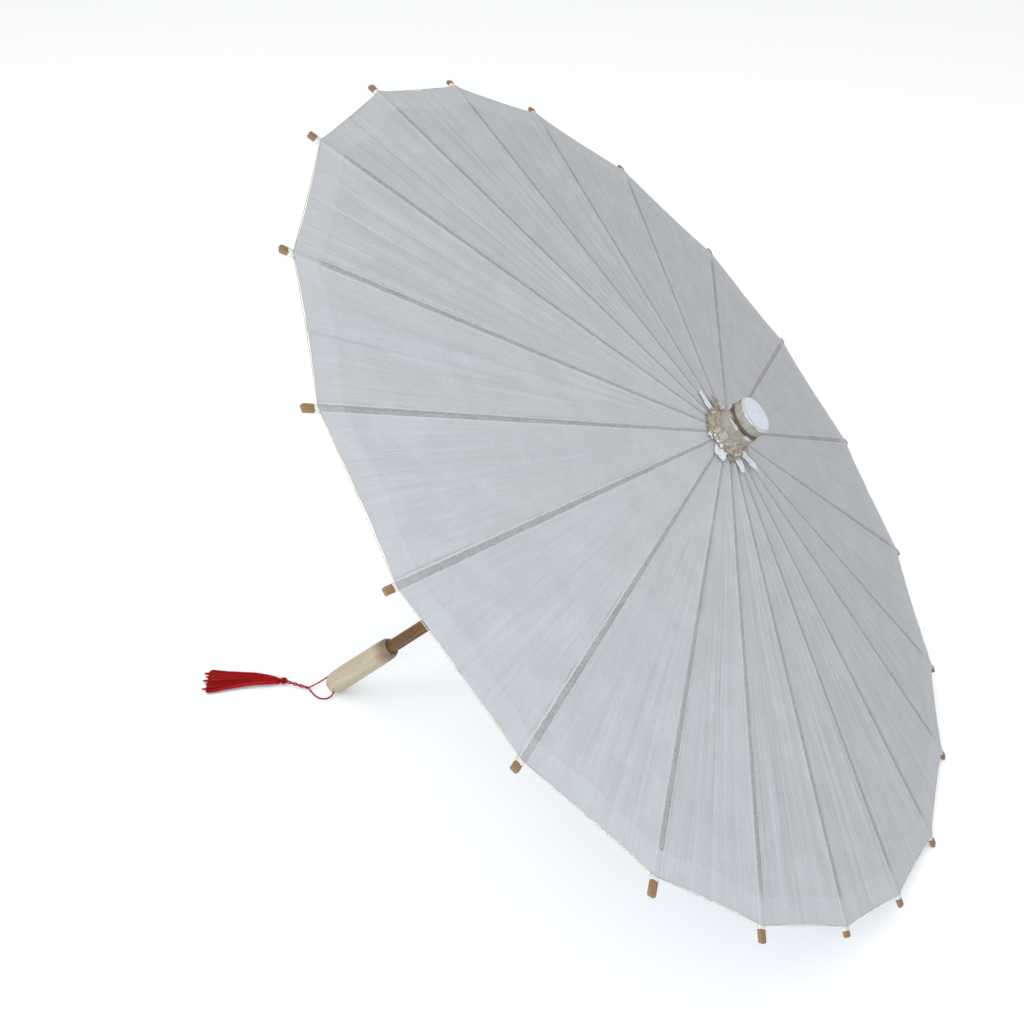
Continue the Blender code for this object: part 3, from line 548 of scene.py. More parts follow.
def turned(name, profile, sides, mat, smooth=35.0, hollow=False, wobble=None, along=True):
    """A turned piece about the pole's axis; its callers stamp the loc attribute with along_axis so that its x runs
    along the pole.
    """
    pts, faces, rings = [], [], []
    for i, (r, z) in enumerate(profile):
        if r < 1e-7:
            rings.append([len(pts)] * sides)
            pts.append((0.0, 0.0, z))
        else:
            rings.append(list(range(len(pts), len(pts) + sides)))
            for s in range(sides):
                a = 2 * math.pi * s / sides
                rr = r + (wobble(a, z) if wobble else 0.0)
                pts.append((rr * math.cos(a), rr * math.sin(a), z))
    pairs = list(zip(rings, rings[1:] + rings[:1])) if hollow else list(zip(rings, rings[1:]))
    for lo, hi in pairs:
        for s in range(sides):
            e = (s + 1) % sides
            f = []
            for v in (lo[s], lo[e], hi[e], hi[s]):
                if v not in f:
                    f.append(v)
            if len(f) > 2:
                faces.append(f)
    obj = make(name, W(pts), faces, mat, None)
    bm = bmesh.new()
    bm.from_mesh(obj.data)
    bmesh.ops.recalc_face_normals(bm, faces=bm.faces)
    bm.to_mesh(obj.data)
    bm.free()
    if smooth:
        obj.data.shade_smooth()
        obj.data.set_sharp_from_angle(angle=math.radians(smooth))
    return obj


AXIS_FRAME = Matrix([list(UP), list(XL), list(YL)]).transposed().to_4x4()  # x along the pole
AXIS_FRAME.translation = HUB


def along_axis(obj, z0=0.0):
    m = AXIS_FRAME.copy()
    m.translation = HUB + UP * z0
    stamp(obj, m)


def smooth_profile(profile, radius=0.0004, n=4):
    """Rounds every corner of a turned profile by a small radius."""
    out = [profile[0]]
    for a, b, c in zip(profile, profile[1:], profile[2:]):
        p, q, r = Vector(a), Vector(b), Vector(c)
        d1, d2 = (q - p), (r - q)
        l1, l2 = d1.length, d2.length
        if l1 < 1e-7 or l2 < 1e-7 or b[0] < 1e-7 or d1.normalized().dot(d2.normalized()) > 0.995:
            out.append(b)
            continue
        k = min(radius, l1 * 0.4, l2 * 0.4)
        s, e = q - d1.normalized() * k, q + d2.normalized() * k
        for i in range(n + 1):
            t = i / n
            out.append(tuple((1 - t) ** 2 * s + 2 * t * (1 - t) * q + t * t * e))
    out.append(profile[-1])
    return out


def apply_modifiers(obj):
    bpy.context.view_layer.update()
    g = bpy.context.evaluated_depsgraph_get()
    me = bpy.data.meshes.new_from_object(obj.evaluated_get(g), preserve_all_data_layers=True, depsgraph=g)
    old = obj.data
    obj.modifiers.clear()
    obj.data = me
    if old.users == 0:
        bpy.data.meshes.remove(old)
    return obj


def boxes_mesh(name, frames, lo, hi):
    pts, faces = [], []
    for m in frames:
        base = len(pts)
        for x in (lo[0], hi[0]):
            for y in (lo[1], hi[1]):
                for z in (lo[2], hi[2]):
                    pts.append(m @ Vector((x, y, z)))
        for f in ((0, 1, 3, 2), (4, 6, 7, 5), (0, 4, 5, 1), (2, 3, 7, 6), (0, 2, 6, 4), (1, 5, 7, 3)):
            faces.append([base + i for i in f])
    me = bpy.data.meshes.new(name)
    me.from_pydata([tuple(p) for p in pts], [], faces)
    bm = bmesh.new()
    bm.from_mesh(me)
    bmesh.ops.recalc_face_normals(bm, faces=bm.faces)
    bm.to_mesh(me)
    bm.free()
    return link(bpy.data.objects.new(name, me))


def cut(obj, *tools):
    for t in tools:
        mod = obj.modifiers.new("cut", "BOOLEAN")
        mod.operation = "DIFFERENCE"
        mod.solver = "EXACT"
        mod.object = t
    apply_modifiers(obj)
    for t in tools:
        bpy.data.objects.remove(t, do_unlink=True)
    return obj


def edge_round(obj, width, segments=2, angle=30):
    mod = obj.modifiers.new("round", "BEVEL")
    mod.width = width
    mod.segments = segments
    mod.limit_method = "ANGLE"
    mod.angle_limit = math.radians(angle)
    mod.harden_normals = False
    return obj


def refined(node, name, mat, width, matrix, smooth=40, segments=2):
    """A rounded copy of a CAD piece: its flat triangles joined, its edges eased."""
    src = frame["nodes"][node]
    me = src.data.copy()
    me.name = name
    bm = bmesh.new()
    bm.from_mesh(me)
    bmesh.ops.remove_doubles(bm, verts=bm.verts, dist=2e-6)
    bmesh.ops.dissolve_limit(bm, angle_limit=math.radians(1.2), verts=bm.verts, edges=bm.edges)
    bm.to_mesh(me)
    bm.free()
    me.materials.clear()
    me.materials.append(mat)
    for p in me.polygons:
        p.material_index = 0
    obj = link(bpy.data.objects.new(name, me))
    if me.has_custom_normals:
        me.normals_split_custom_set([(0, 0, 0)] * len(me.loops))
    edge_round(obj, width, segments)
    apply_modifiers(obj)
    obj.data.shade_smooth()
    obj.data.set_sharp_from_angle(angle=math.radians(smooth))
    stamp(obj, matrix)
    return obj


def tube(path, radius, sides=8, caps=True, phase=0.0):
    """Points and faces of a tube along a path; radius may be a list."""
    n = len(path)
    path = [Vector(p) for p in path]
    rad = radius if hasattr(radius, "__len__") else [radius] * n
    pts, faces = [], []
    prev = None
    for i, p in enumerate(path):
        d = (path[min(i + 1, n - 1)] - path[max(i - 1, 0)]).normalized()
        if prev is None:
            side = d.cross(Vector((0, 0, 1)))
            if side.length < 1e-3:
                side = d.cross(Vector((0, 1, 0)))
        else:
            side = prev - d * prev.dot(d)
        side.normalize()
        prev = side
        up = d.cross(side)
        for s in range(sides):
            a = phase + 2 * math.pi * s / sides
            pts.append(p + rad[i] * (math.cos(a) * side + math.sin(a) * up))
    for i in range(n - 1):
        for s in range(sides):
            e = (s + 1) % sides
            faces.append((i * sides + s, i * sides + e, (i + 1) * sides + e, (i + 1) * sides + s))
    if caps:
        faces.append(tuple(range(sides))[::-1])
        faces.append(tuple(range((n - 1) * sides, n * sides)))
    return pts, faces


def joined(parts):
    """Several (points, faces) as one."""
    pts, faces = [], []
    for p, f in parts:
        base = len(pts)
        pts += [tuple(v) for v in p]
        faces += [tuple(base + i for i in q) for q in f]
    return pts, faces


# ------------------------------------------------------------------ cords first
END = Vector(W((0, 0, GRIP_END))[0])
FOOT = Vector((END.x, END.y, 0.0))
TURN3 = Matrix([list(XL), list(YL), list(UP)]).transposed()
HOLE_MID = Vector(W((0, 0, GRIP_END + CORD_HOLE))[0]) - FOOT
HOLE_DIR = (TURN3 @ Vector((math.cos(CORD_AZ), math.sin(CORD_AZ), 0))).normalized()
JOIN = Vector((-0.0240, -0.0074, 0.0024))
KNOT = Vector((-0.0505, -0.0056, 0.0042))
TWIST_R = 0.00102
FAR = [HOLE_MID - HOLE_DIR * d for d in (0.0050, 0.0080, 0.0108)] + [
    Vector((-0.0040, 0.0108, 0.0092)),
    Vector((-0.0078, 0.0074, 0.0070)),
    Vector((-0.0140, 0.0004, 0.0046)),
]
NEAR = [HOLE_MID + HOLE_DIR * d for d in (0.0050, 0.0080, 0.0108)] + [
    Vector((0.0060, -0.0138, 0.0020)),
    Vector((0.0010, -0.0182, 0.0010)),
    Vector((-0.0060, -0.0184, 0.0009)),
    Vector((-0.0135, -0.0142, 0.0011)),
]


def twisted(phase):
    along = (KNOT - JOIN).normalized()
    side = along.cross(Vector((0, 0, 1))).normalized()
    up = side.cross(along)
    run = (KNOT - JOIN).length - 0.0046
    out = []
    for i in range(11):
        s = i / 10
        t = phase + s * 2 * math.pi * 1.5
        out.append(JOIN + along * run * s + TWIST_R * (math.cos(t) * side + math.sin(t) * up))
    return out


def smooth_curve(points, step):
    p = [points[0] * 2 - points[1]] + points + [points[-1] * 2 - points[-2]]
    fine = []
    for i in range(1, len(p) - 2):
        t = [0.0]
        for a in range(3):
            t.append(t[-1] + max((p[i + a] - p[i + a - 1]).length, 1e-6) ** 0.5)
        for j in range(20):
            u = t[1] + (t[2] - t[1]) * j / 20
            a1 = p[i - 1] * ((t[1] - u) / (t[1] - t[0])) + p[i] * ((u - t[0]) / (t[1] - t[0]))
            a2 = p[i] * ((t[2] - u) / (t[2] - t[1])) + p[i + 1] * ((u - t[1]) / (t[2] - t[1]))
            a3 = p[i + 1] * ((t[3] - u) / (t[3] - t[2])) + p[i + 2] * ((u - t[2]) / (t[3] - t[2]))
            b1 = a1 * ((t[2] - u) / (t[2] - t[0])) + a2 * ((u - t[0]) / (t[2] - t[0]))
            b2 = a2 * ((t[3] - u) / (t[3] - t[1])) + a3 * ((u - t[1]) / (t[3] - t[1]))
            fine.append(b1 * ((t[2] - u) / (t[2] - t[1])) + b2 * ((u - t[1]) / (t[2] - t[1])))
    fine.append(points[-1])
    along = [0.0]
    for a, b in zip(fine, fine[1:]):
        along.append(along[-1] + (b - a).length)
    count = max(2, round(along[-1] / step))
    out = []
    for i in range(count + 1):
        want = along[-1] * i / count
        j = min(max(1, next((n for n, v in enumerate(along) if v >= want), len(along) - 1)), len(along) - 1)
        share = (want - along[j - 1]) / max(along[j] - along[j - 1], 1e-9)
        out.append(fine[j - 1].lerp(fine[j], share))
    return out


def make_cord(name, points, exit_at, node):
    """Two plies laid round each other along the strand's line, as one mesh tube."""
    route = [FOOT + p for p in smooth_curve(points, 0.0011)]
    length = sum((b - a).length for a, b in zip(route, route[1:]))
    pts, faces = tube(route, CORD_D / 2, sides=18)
    sides = 18
    # a two-ply outline, turned along the route
    prev = None
    new = []
    for i, c in enumerate(route):
        ring = [Vector(pts[i * sides + s]) - c for s in range(sides)]
        turn = 2 * math.pi * i * 0.0011 / 0.0052
        for s, v in enumerate(ring):
            a = 2 * math.pi * s / sides + turn
            k = 0.80 + 0.22 * abs(math.cos(a))
            new.append(c + v * k)
    obj = make(name, new, faces, M_CORD, 180, tint=[0.40 + 0.25 * math.sin(i * 0.7) for i in range(len(new))])
    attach(obj, "stick")
    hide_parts(node)
    return obj, route, length


cord_far, far_route, far_len = make_cord("tassel_cord_back", FAR + twisted(math.radians(-90)), None, "tassel_cord_far")
cord_near, near_route, near_len = make_cord("tassel_cord_front", NEAR + twisted(math.radians(90)), None, "tassel_cord_near")


# ------------------------------------------------------------------ tassel
def knot_piece():
    parts = []
    along = (KNOT - JOIN).normalized()
    flat = Vector((along.x, along.y, 0)).normalized()
    side = Vector((0, 0, 1)).cross(flat)
    c = FOOT + KNOT
    path = []
    n = 150
    for i in range(n):
        a = 2 * math.pi * i / n
        big = 0.00245 + 0.00105 * math.cos(5 * a)
        x, y, z = big * math.cos(3 * a), big * math.sin(3 * a), 0.00115 * math.sin(5 * a)
        path.append(c + flat * x * 1.05 + side * y * 1.12 + Vector((0, 0, z * 1.25)))
    pts, faces = tube(path + [path[0]], 0.00072, sides=9, caps=False)
    parts.append((pts, faces))
    # a round heart so that nothing shows through
    heart, hf = [], []
    rows, cols = 10, 18
    for i in range(rows + 1):
        p = math.pi * i / rows
        for j in range(cols):
            q = 2 * math.pi * j / cols
            heart.append(c + flat * 0.0030 * math.cos(p) + side * 0.0032 * math.sin(p) * math.cos(q) + Vector((0, 0, 0.0021 * math.sin(p) * math.sin(q))))
    for i in range(rows):
        for j in range(cols):
            k = (j + 1) % cols
            hf.append((i * cols + j, i * cols + k, (i + 1) * cols + k, (i + 1) * cols + j))
    parts.append((heart, hf))
    # the end of the winding: a small round turn on the camera's side of the knot
    bead = []
    b0 = c - side * 0.0037 + flat * 0.0006 + Vector((0, 0, -0.0016))
    ring = [b0 + flat * 0.00105 * math.cos(t) + Vector((0, 0, 0.00105 * math.sin(t))) - side * 0.0003 * math.sin(2 * t) for t in (2 * math.pi * i / 24 for i in range(25))]
    parts.append(tube(ring, 0.00066, sides=8, caps=False))
    # whipping round the neck between the knot and the skirt
    for i in range(5):
        m = FOOT + Vector((-0.0548 - 0.00105 * i, -0.0058 - 0.00018 * i, 0.0037))
        r = 0.00205 + 0.00018 * i
        ringp = [m + side * r * math.cos(t) + Vector((0, 0, r * 0.92 * math.sin(t))) + flat * 0.0003 * math.sin(t) for t in (2 * math.pi * j / 28 for j in range(29))]
        parts.append(tube(ringp, 0.00056, sides=7, caps=False))
    pts, faces = joined(parts)
    tint = [0.42 + 0.2 * math.sin(i * 0.05) for i in range(len(pts))]
    fm = Matrix([list(flat), list(side), [0, 0, 1]]).transposed().to_4x4()
    fm.translation = c
    obj = make("tassel_knot_wound", pts, faces, M_CORD, 180, frame_matrix=fm, tint=tint)
    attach(obj, "stick")
    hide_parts("tassel_knot")
    return obj


knot = knot_piece()

SKIRT = [
    (-0.0552, -0.0059, 0.0050, 0.0046),
    (-0.0590, -0.0064, 0.0088, 0.0066),
    (-0.0670, -0.0084, 0.0150, 0.0078),
    (-0.0790, -0.0118, 0.0200, 0.0074),
    (-0.0930, -0.0160, 0.0240, 0.0062),
    (-0.1090, -0.0208, 0.0300, 0.0052),
    (-0.1230, -0.0252, 0.0390, 0.0044),
    (-0.1330, -0.0284, 0.0470, 0.0036),
]


def skirt_at(s):
    """Centre, heading's left and width, thickness at share s of the skirt's length."""
    x = max(0.0, min(1.0, s)) * (len(SKIRT) - 1)
    i = min(int(x), len(SKIRT) - 2)
    f = x - i
    row = [a + (b - a) * f for a, b in zip(SKIRT[i], SKIRT[i + 1])]
    lo, hi = SKIRT[max(0, i - 1)], SKIRT[min(len(SKIRT) - 1, i + 2)]
    h = Vector((hi[0] - lo[0], hi[1] - lo[1], 0)).normalized()
    return Vector((row[0], row[1], 0)), h, Vector((-h.y, h.x, 0)), row[2], row[3]


def skirt_piece():
    rng = np.random.default_rng(7)
    parts, tint = [], []
    tips = [-0.95, -0.62, -0.34, -0.04, 0.26, 0.60, 0.93]
    long = [0.90, 1.0, 0.955, 1.0, 0.94, 0.985, 0.90]
    count = 210
    for i in range(count):
        u = -1 + 2 * (i + rng.uniform(-0.4, 0.4)) / (count - 1)
        layer = rng.uniform(-1, 1)
        tip = min(tips, key=lambda c: abs(c - u))
        near = abs(tip - u) / 0.14
        reach = long[tips.index(tip)] - 0.095 * min(near, 1.3) + rng.uniform(-0.020, 0.020)
        wave, ph = rng.uniform(-0.02, 0.02), rng.uniform(0, 6.28)
        path, rad = [], []
        for j in range(17):
            s = reach * j / 16
            c, h, left, wide, thick = skirt_at(s)
            clump = max(0.0, (s - 0.55) / 0.45) ** 1.4 * 0.70
            uu = u + (tip - u) * clump + wave * math.sin(ph + s * 7.0)
            edge = math.sqrt(max(0.02, 1 - min(1.0, abs(uu)) ** 2))
            z = thick / 2 + 0.0006 + layer * 0.42 * thick * edge
            z += 0.0006 * math.sin(s * 9 + ph) * (1 - s)
            out = c + left * (wide / 2 * uu * (0.97 + 0.10 * math.sin(s * 9.0 + 1.2) * (1 - s)) + 0.0011 * math.sin(s * 8.0 + 0.6) * math.sin(math.pi * min(s, 1.0)))
            path.append(FOOT + Vector((out.x, out.y, max(z, 0.0007))))
            rad.append(0.00040 * (1 - 0.35 * max(0.0, (s - 0.85) / 0.15)))
        p, f = tube(path, rad, sides=5)
        parts.append((p, f))
        # painted light in the tint: threads on top of the skirt are lighter (painted highlight), those underneath and
        # those between the clumps darker (painted shade)
        v = float(np.clip(0.50 + 0.16 * layer + rng.normal(0, 0.13) - 0.22 * min(1.0, near) ** 2, 0.0, 1.0))
        ring = []
        for j in range(17):
            s = j / 16
            ring += [float(np.clip(v - 0.12 * s * s, 0, 1))] * 5
        tint += ring
    # the heart of the skirt, under the threads, tinted almost black as painted shade among them
    core, cf = [], []
    rows, cols = 14, 16
    for i in range(rows):
        s = 0.02 + 0.90 * i / (rows - 1)
        c, h, left, wide, thick = skirt_at(s)
        for j in range(cols):
            a = 2 * math.pi * j / cols
            core.append(FOOT + Vector((c.x, c.y, thick / 2 + 0.0006)) + left * (wide * 0.43 * math.cos(a)) + Vector((0, 0, thick * 0.26 * math.sin(a))))
    for i in range(rows - 1):
        for j in range(cols):
            k = (j + 1) % cols
            cf.append((i * cols + j, i * cols + k, (i + 1) * cols + k, (i + 1) * cols + j))
    cf.append(tuple(range(cols))[::-1])
    cf.append(tuple(range((rows - 1) * cols, rows * cols)))
    parts.append((core, cf))
    # the heart's dark tint is painted shade
    tint += [0.12] * len(core)
    pts, faces = joined(parts)
    c, h, left, _, _ = skirt_at(0.5)
    fm = Matrix([list(h), list(left), [0, 0, 1]]).transposed().to_4x4()
    fm.translation = FOOT + c
    obj = make("tassel_skirt_threads", pts, faces, M_SILK, 180, frame_matrix=fm, tint=tint)
    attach(obj, "stick")
    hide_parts("tassel_skirt")
    return obj


skirt_piece()


# ------------------------------------------------------------------ canopy
def hash01(*key):
    v = math.sin(sum((i + 1.37) * 12.9898 * (k + 0.71) for i, k in enumerate(key)) * 78.233) * 43758.5453
    return v - math.floor(v)


def smoothstep(a, b, x):
    t = np.clip((x - a) / (b - a), 0, 1)
    return t * t * (3 - 2 * t)


ORDER = list(range(RIBS, 0, -1))  # azimuth rising
NEXT = {k: (k - 1 if k > 1 else RIBS) for k in AZ}  # the rib on its +tangent side
PREV = {v: k for k, v in NEXT.items()}


def gap_of(k):
    """The angle from rib k to the next rib in its +tangent direction."""
    g = AZ[NEXT[k]] - AZ[k]
    return g if g > 0 else g + 2 * math.pi


CREASES = {}
for _k in AZ:
    rows = []
    for j in range(9):
        c = 0.10 + 0.80 * hash01(_k, j, 1)
        amp = (0.00035 + 0.00080 * hash01(_k, j, 2)) * (1 if hash01(_k, j, 3) > 0.45 else -1)
        width = 0.014 + 0.030 * hash01(_k, j, 4)
        x0 = 0.10 + 0.50 * hash01(_k, j, 5)
        x1 = min(1.05, x0 + 0.35 + 0.5 * hash01(_k, j, 6))
        bend = 0.05 * (hash01(_k, j, 7) - 0.5)
        rows.append((c, amp, width, x0, x1, bend))
    CREASES[_k] = rows


def gore_drop(k, s, x, rho, width):
    """Height of the paper over the straight chord between rib k (s=0) and the next (s=1), in metres; arrays."""
    arch = np.sin(np.pi * s)
    depth = 0.0013 + 0.0009 * hash01(k, 20)
    d = -depth * arch * np.clip(x, 0, 1) * (1.25 - 0.75 * x)
    d -= 0.00060 * np.clip(1 - np.abs(s - 0.5) / 0.055, 0, 1) * np.sqrt(x) * smoothstep(0.05, 0.25, x)
    for c, amp, w, x0, x1, bend in CREASES[k]:
        cc = c + bend * np.sin(x * 5.0 + k)
        d += amp * np.exp(-(((s - cc) / w) ** 2)) * smoothstep(x0, x0 + 0.15, x) * (1 - smoothstep(x1 - 0.15, x1, x)) * np.sqrt(x)
    near = np.minimum(s, 1 - s) * width
    half = 0.00155 + 0.0052 * rho
    d += 0.00030 * (1 - smoothstep(half * 0.8, half + 0.0022, near))
    return d


def wrinkle(points, amp, scale, seed):
    out = np.zeros(len(points))
    for i, p in enumerate(points):
        out[i] = amp * noise.noise(Vector((p[0] * scale[0] + seed, p[1] * scale[1], p[2] * scale[2])))
    return out


S_LIST = [0.0, 0.010, 0.020, 0.030, 0.042, 0.058, 0.078, 0.102, 0.130, 0.162, 0.196, 0.232, 0.268, 0.304, 0.340, 0.374, 0.406, 0.436, 0.458, 0.474, 0.488, 0.5]
R_IN = 0.0196
X_ROWS = sorted(set([0.0, 0.012, 0.026] + [round(0.04 + 0.90 * i / 62, 5) for i in range(63)] + [0.945, 0.955, 0.965, 0.975, 0.985, 0.993, 1.0]))


def surface(k, s, rho):
    """Umbrella-frame points, normal-direction heights included, of the gore from rib k at shares s and radii rho."""
    g = gap_of(k)
    a0 = AZ[k]
    x = rho / CANOPY_R
    p0 = np.stack([rho * math.cos(a0), rho * math.sin(a0), -rho * SLOPE], 1)
    p1 = np.stack([rho * math.cos(a0 + g), rho * math.sin(a0 + g), -rho * SLOPE], 1)
    width = 2 * rho * math.sin(g / 2)
    d = gore_drop(k, s, x, rho, width)
    ang = np.stack([s * 9.0 + k * 3.1, rho * 14.0, np.zeros_like(s)], 1)
    d += wrinkle(ang, 0.00055, (1, 1, 1), 3.7) * np.sin(np.pi * np.clip(s, 0, 1)) * np.sqrt(x)
    fine = np.stack([s * 26.0 + k * 5.3, rho * 30.0, np.zeros_like(s)], 1)
    d += wrinkle(fine, 0.00022, (1, 1, 1), 11.0) * np.sin(np.pi * np.clip(s, 0, 1)) * np.sqrt(x)
    # a slack rim between the ribs
    rim = smoothstep(0.90, 1.0, x)
    d += rim * 0.0009 * (hash01(k, 31) - 0.5) * np.sin(2 * np.pi * s)
    mid = a0 + g / 2
    n = np.array((math.cos(OPEN) * math.cos(mid), math.cos(OPEN) * math.sin(mid), math.sin(OPEN)))
    p = p0 + (p1 - p0) * s[:, None] + n * d[:, None]
    # the edge is drawn in a little between the ribs
    inward = -np.array((math.cos(mid), math.sin(mid), -SLOPE)) / math.hypot(1, SLOPE)
    p += inward * (rim * (0.0011 + 0.0012 * hash01(k, 33)) * np.sin(np.pi * s) ** 0.8)[:, None]
    return p, n


OWN = {k: 0.36 + 0.48 * hash01(k, 51) for k in AZ}
OWN.update({17: 0.93, 20: 0.12, 19: 0.20, 18: 0.16})  # 17 has the dot of glue; the last three show to the rim


def canopy_panel(k):
    cols = [("a", PREV[k], 1 - s, -s) for s in reversed(S_LIST[1:])] + [("b", k, s, s) for s in S_LIST]
    rho_base = R_IN + (CANOPY_R - R_IN) * np.array(X_ROWS)
    grid, gore, fan, norms = [], [], [], []
    for kind, gk, s, signed in cols:
        sv = np.full(len(rho_base), s)
        p, n = surface(gk, sv, rho_base)
        g = gap_of(gk)
        width = 2 * rho_base * math.sin(g / 2)
        grid.append(p)
        norms.append(n)
        gore.append(np.stack([signed * width, rho_base, np.full_like(rho_base, signed)], 1))
        fan.append(np.stack([np.full_like(rho_base, (RIBS - gk) + s), CANOPY_R - rho_base, np.full_like(rho_base, OWN[k])], 1))
    nr, nc = len(X_ROWS), len(cols)
    top = np.concatenate(grid)
    nn = np.concatenate([np.repeat(n[None, :], nr, 0) for n in norms])
    thick = np.full(nc * nr, PAPER)
    bottom = top - nn * thick[:, None]
    pts = np.concatenate([top, bottom])
    faces = []
    base = nc * nr
    for c in range(nc - 1):
        for r in range(nr - 1):
            a, b, cc, d = c * nr + r, c * nr + r + 1, (c + 1) * nr + r + 1, (c + 1) * nr + r
            faces.append((a, b, cc, d))
            faces.append((base + a, base + d, base + cc, base + b))
    for c in range(nc - 1):
        a, d = c * nr, (c + 1) * nr
        faces.append((a, d, base + d, base + a))
        a, d = c * nr + nr - 1, (c + 1) * nr + nr - 1
        faces.append((a, base + a, base + d, d))
    for r in range(nr - 1):
        a, b = r, r + 1
        faces.append((a, base + a, base + b, b))
        a, b = (nc - 1) * nr + r, (nc - 1) * nr + r + 1
        faces.append((a, b, base + b, base + a))
    me = bpy.data.meshes.new(f"canopy_gore_{k:02d}")
    me.from_pydata([tuple(p) for p in W(pts)], [], faces)
    me.update()
    me.shade_smooth()
    me.set_sharp_from_angle(angle=math.radians(60))
    for name, data in (("gore", gore), ("fan", fan)):
        a = me.attributes.new(name, "FLOAT_VECTOR", "POINT")
        v = np.concatenate([np.concatenate(data)] * 2).astype(np.float32)
        a.data.foreach_set("vector", v.ravel())
    me.materials.append(M_CANOPY)
    obj = link(bpy.data.objects.new(f"canopy_gore_{k:02d}", me))
    stamp(obj, LOCAL)
    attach(obj, f"rib_{k:02d}")
    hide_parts("canopy_paper")
    p, d, t, n = rib_axes(k)
    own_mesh(obj)
    return obj


for k in AZ:
    canopy_panel(k)


# ------------------------------------------------------------------ ribs, their wraps and the stretchers
for k in AZ:
    rib = refined(f"rib_{k:02d}", f"bamboo_rib_{k:02d}", M_BAMBOO, 0.00042, rib_matrix(k))
    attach(rib, f"rib_{k:02d}")
    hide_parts(f"rib_{k:02d}")
    st = refined(f"stretcher_{k:02d}", f"bamboo_stretcher_{k:02d}", M_SPLIT, 0.00035, stretcher_matrix(k))
    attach(st, f"stretcher_{k:02d}")
    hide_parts(f"stretcher_{k:02d}")

    # the hem's paper, folded round the rib where it comes out
    m = rib_matrix(k)
    half = (0.0029 + 0.0033 * RIM_X / RIB_LEN) / 2
    rows = 9
    length = 0.0016 + 0.0016 * hash01(k, 41)
    pts, faces = [], []
    cols = 20
    for i in range(rows):
        x = RIM_X - 0.0022 + (length + 0.0022) * i / (rows - 1)
        for j in range(cols):
            a = 2 * math.pi * j / cols
            ca, sa = math.cos(a), math.sin(a)
            ex = math.copysign(abs(ca) ** 0.45, ca) * (half + 0.00026)
            ez = math.copysign(abs(sa) ** 0.45, sa) * (RIB_H / 2 + 0.00024)
            ragged = 0.0007 * (noise.noise(Vector((ca * 2.1, sa * 2.1, k * 3.3))) if i == rows - 1 else 0)
            puff = 0.00014 * noise.noise(Vector((ca * 3 + k, sa * 3, i * 0.7)))
            pts.append(m @ Vector((x + ragged, ex * (1 + puff * 200), ez * (1 + puff * 300))))
    for i in range(rows - 1):
        for j in range(cols):
            e = (j + 1) % cols
            faces.append((i * cols + j, i * cols + e, (i + 1) * cols + e, (i + 1) * cols + j))
    wrap = make(f"rib_wrap_{k:02d}", pts, faces, M_WRAP, 180, frame_matrix=m)
    sol = wrap.modifiers.new("thick", "SOLIDIFY")
    sol.thickness = 0.00012
    sol.offset = 1
    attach(wrap, f"rib_{k:02d}")


# ------------------------------------------------------------------ threads that go slack: one length to each rib
def thread_bit(k, name, x, z, node):
    """From the middle of one gap to the middle of the next, past rib k."""
    def point(kk, y):
        return rib_matrix(kk) @ Vector((x, y, z))
    path = []
    before, after = PREV[k], NEXT[k]
    a = (point(before, 0.0) + point(k, 0.0)) / 2
    c = (point(k, 0.0) + point(after, 0.0)) / 2
    b0, b1 = point(k, -0.0030), point(k, 0.0030)
    for i in range(6):
        path.append(a.lerp(b0, i / 6))
    path += [b0, b0.lerp(b1, 0.5), b1]
    for i in range(1, 7):
        path.append(b1.lerp(c, i / 6))
    pts, faces = tube(path, 0.00035, sides=8)
    obj = make(f"{name}_{k:02d}", pts, faces, M_THREAD, 180, frame_matrix=rib_matrix(k))
    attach(obj, f"rib_{k:02d}")
    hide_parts(node)
    p, d, t, n = rib_axes(k)
    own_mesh(obj)
    return obj


for k in AZ:
    thread_bit(k, "joint_lacing", JOINT_A, -JOINT_E, "joint_thread")
    thread_bit(k, "rim_lacing", RIM_X - 0.0016, 0.00115, "rim_thread")

# ------------------------------------------------------------------ pole, grip, crown, runner
pole = turned("pole_rod", [(0, GRIP_END + 0.030), (POLE_R, GRIP_END + 0.030)] + [(POLE_R * (1 + 0.004 * math.sin(i * 0.9)), GRIP_END + 0.030 + (POLE_TOP - GRIP_END - 0.030) * i / 60) for i in range(1, 60)] + [(POLE_R, POLE_TOP), (0, POLE_TOP)], 64, M_POLE)
catch_top = RUNNER_Z - SLEEVE_LEN - 0.0006
radial = LOCAL @ Matrix.Rotation(CATCH_AZ, 4, "Z")
cut(pole, boxes_mesh("pocket", [radial], (0.0002, -CATCH_W / 2 - 0.0003, catch_top - 0.0265), (0.0120, CATCH_W / 2 + 0.0003, catch_top + 0.0009)))
pole.data.shade_smooth()
pole.data.set_sharp_from_angle(angle=math.radians(35))
along_axis(pole)
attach(pole, "stick")
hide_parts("pole")

gb = POLE_R + 0.0003
grip_outer = [
    (0.0030, GRIP_END), (0.0062, GRIP_END + 0.0012), (0.0088, GRIP_END + 0.0036), (0.0104, GRIP_END + 0.0072),
    (0.0113, GRIP_END + 0.0120), (GRIP_R, GRIP_END + 0.0200), (0.0115, GRIP_END + 0.0560), (0.0112, SHOULDER - 0.0080),
    (0.0106, SHOULDER - 0.0030), (0.0090, SHOULDER),
]
curve = smooth_curve([Vector((r, z, 0)) for r, z in grip_outer], 0.0011)
profile = [(0, GRIP_END)] + [(p.x, p.y) for p in curve] + [(gb, SHOULDER), (gb, GRIP_END + 0.0290), (0, GRIP_END + 0.0290)]
grip = turned("grip_turned", smooth_profile(profile, 0.0005), 72, M_GRIP)
hole_axis = LOCAL @ Matrix.Translation((0, 0, GRIP_END + CORD_HOLE)) @ Matrix.Rotation(CORD_AZ, 4, "Z") @ Matrix.Rotation(math.pi / 2, 4, "Y")
hm = bpy.data.meshes.new("hole")
bm = bmesh.new()
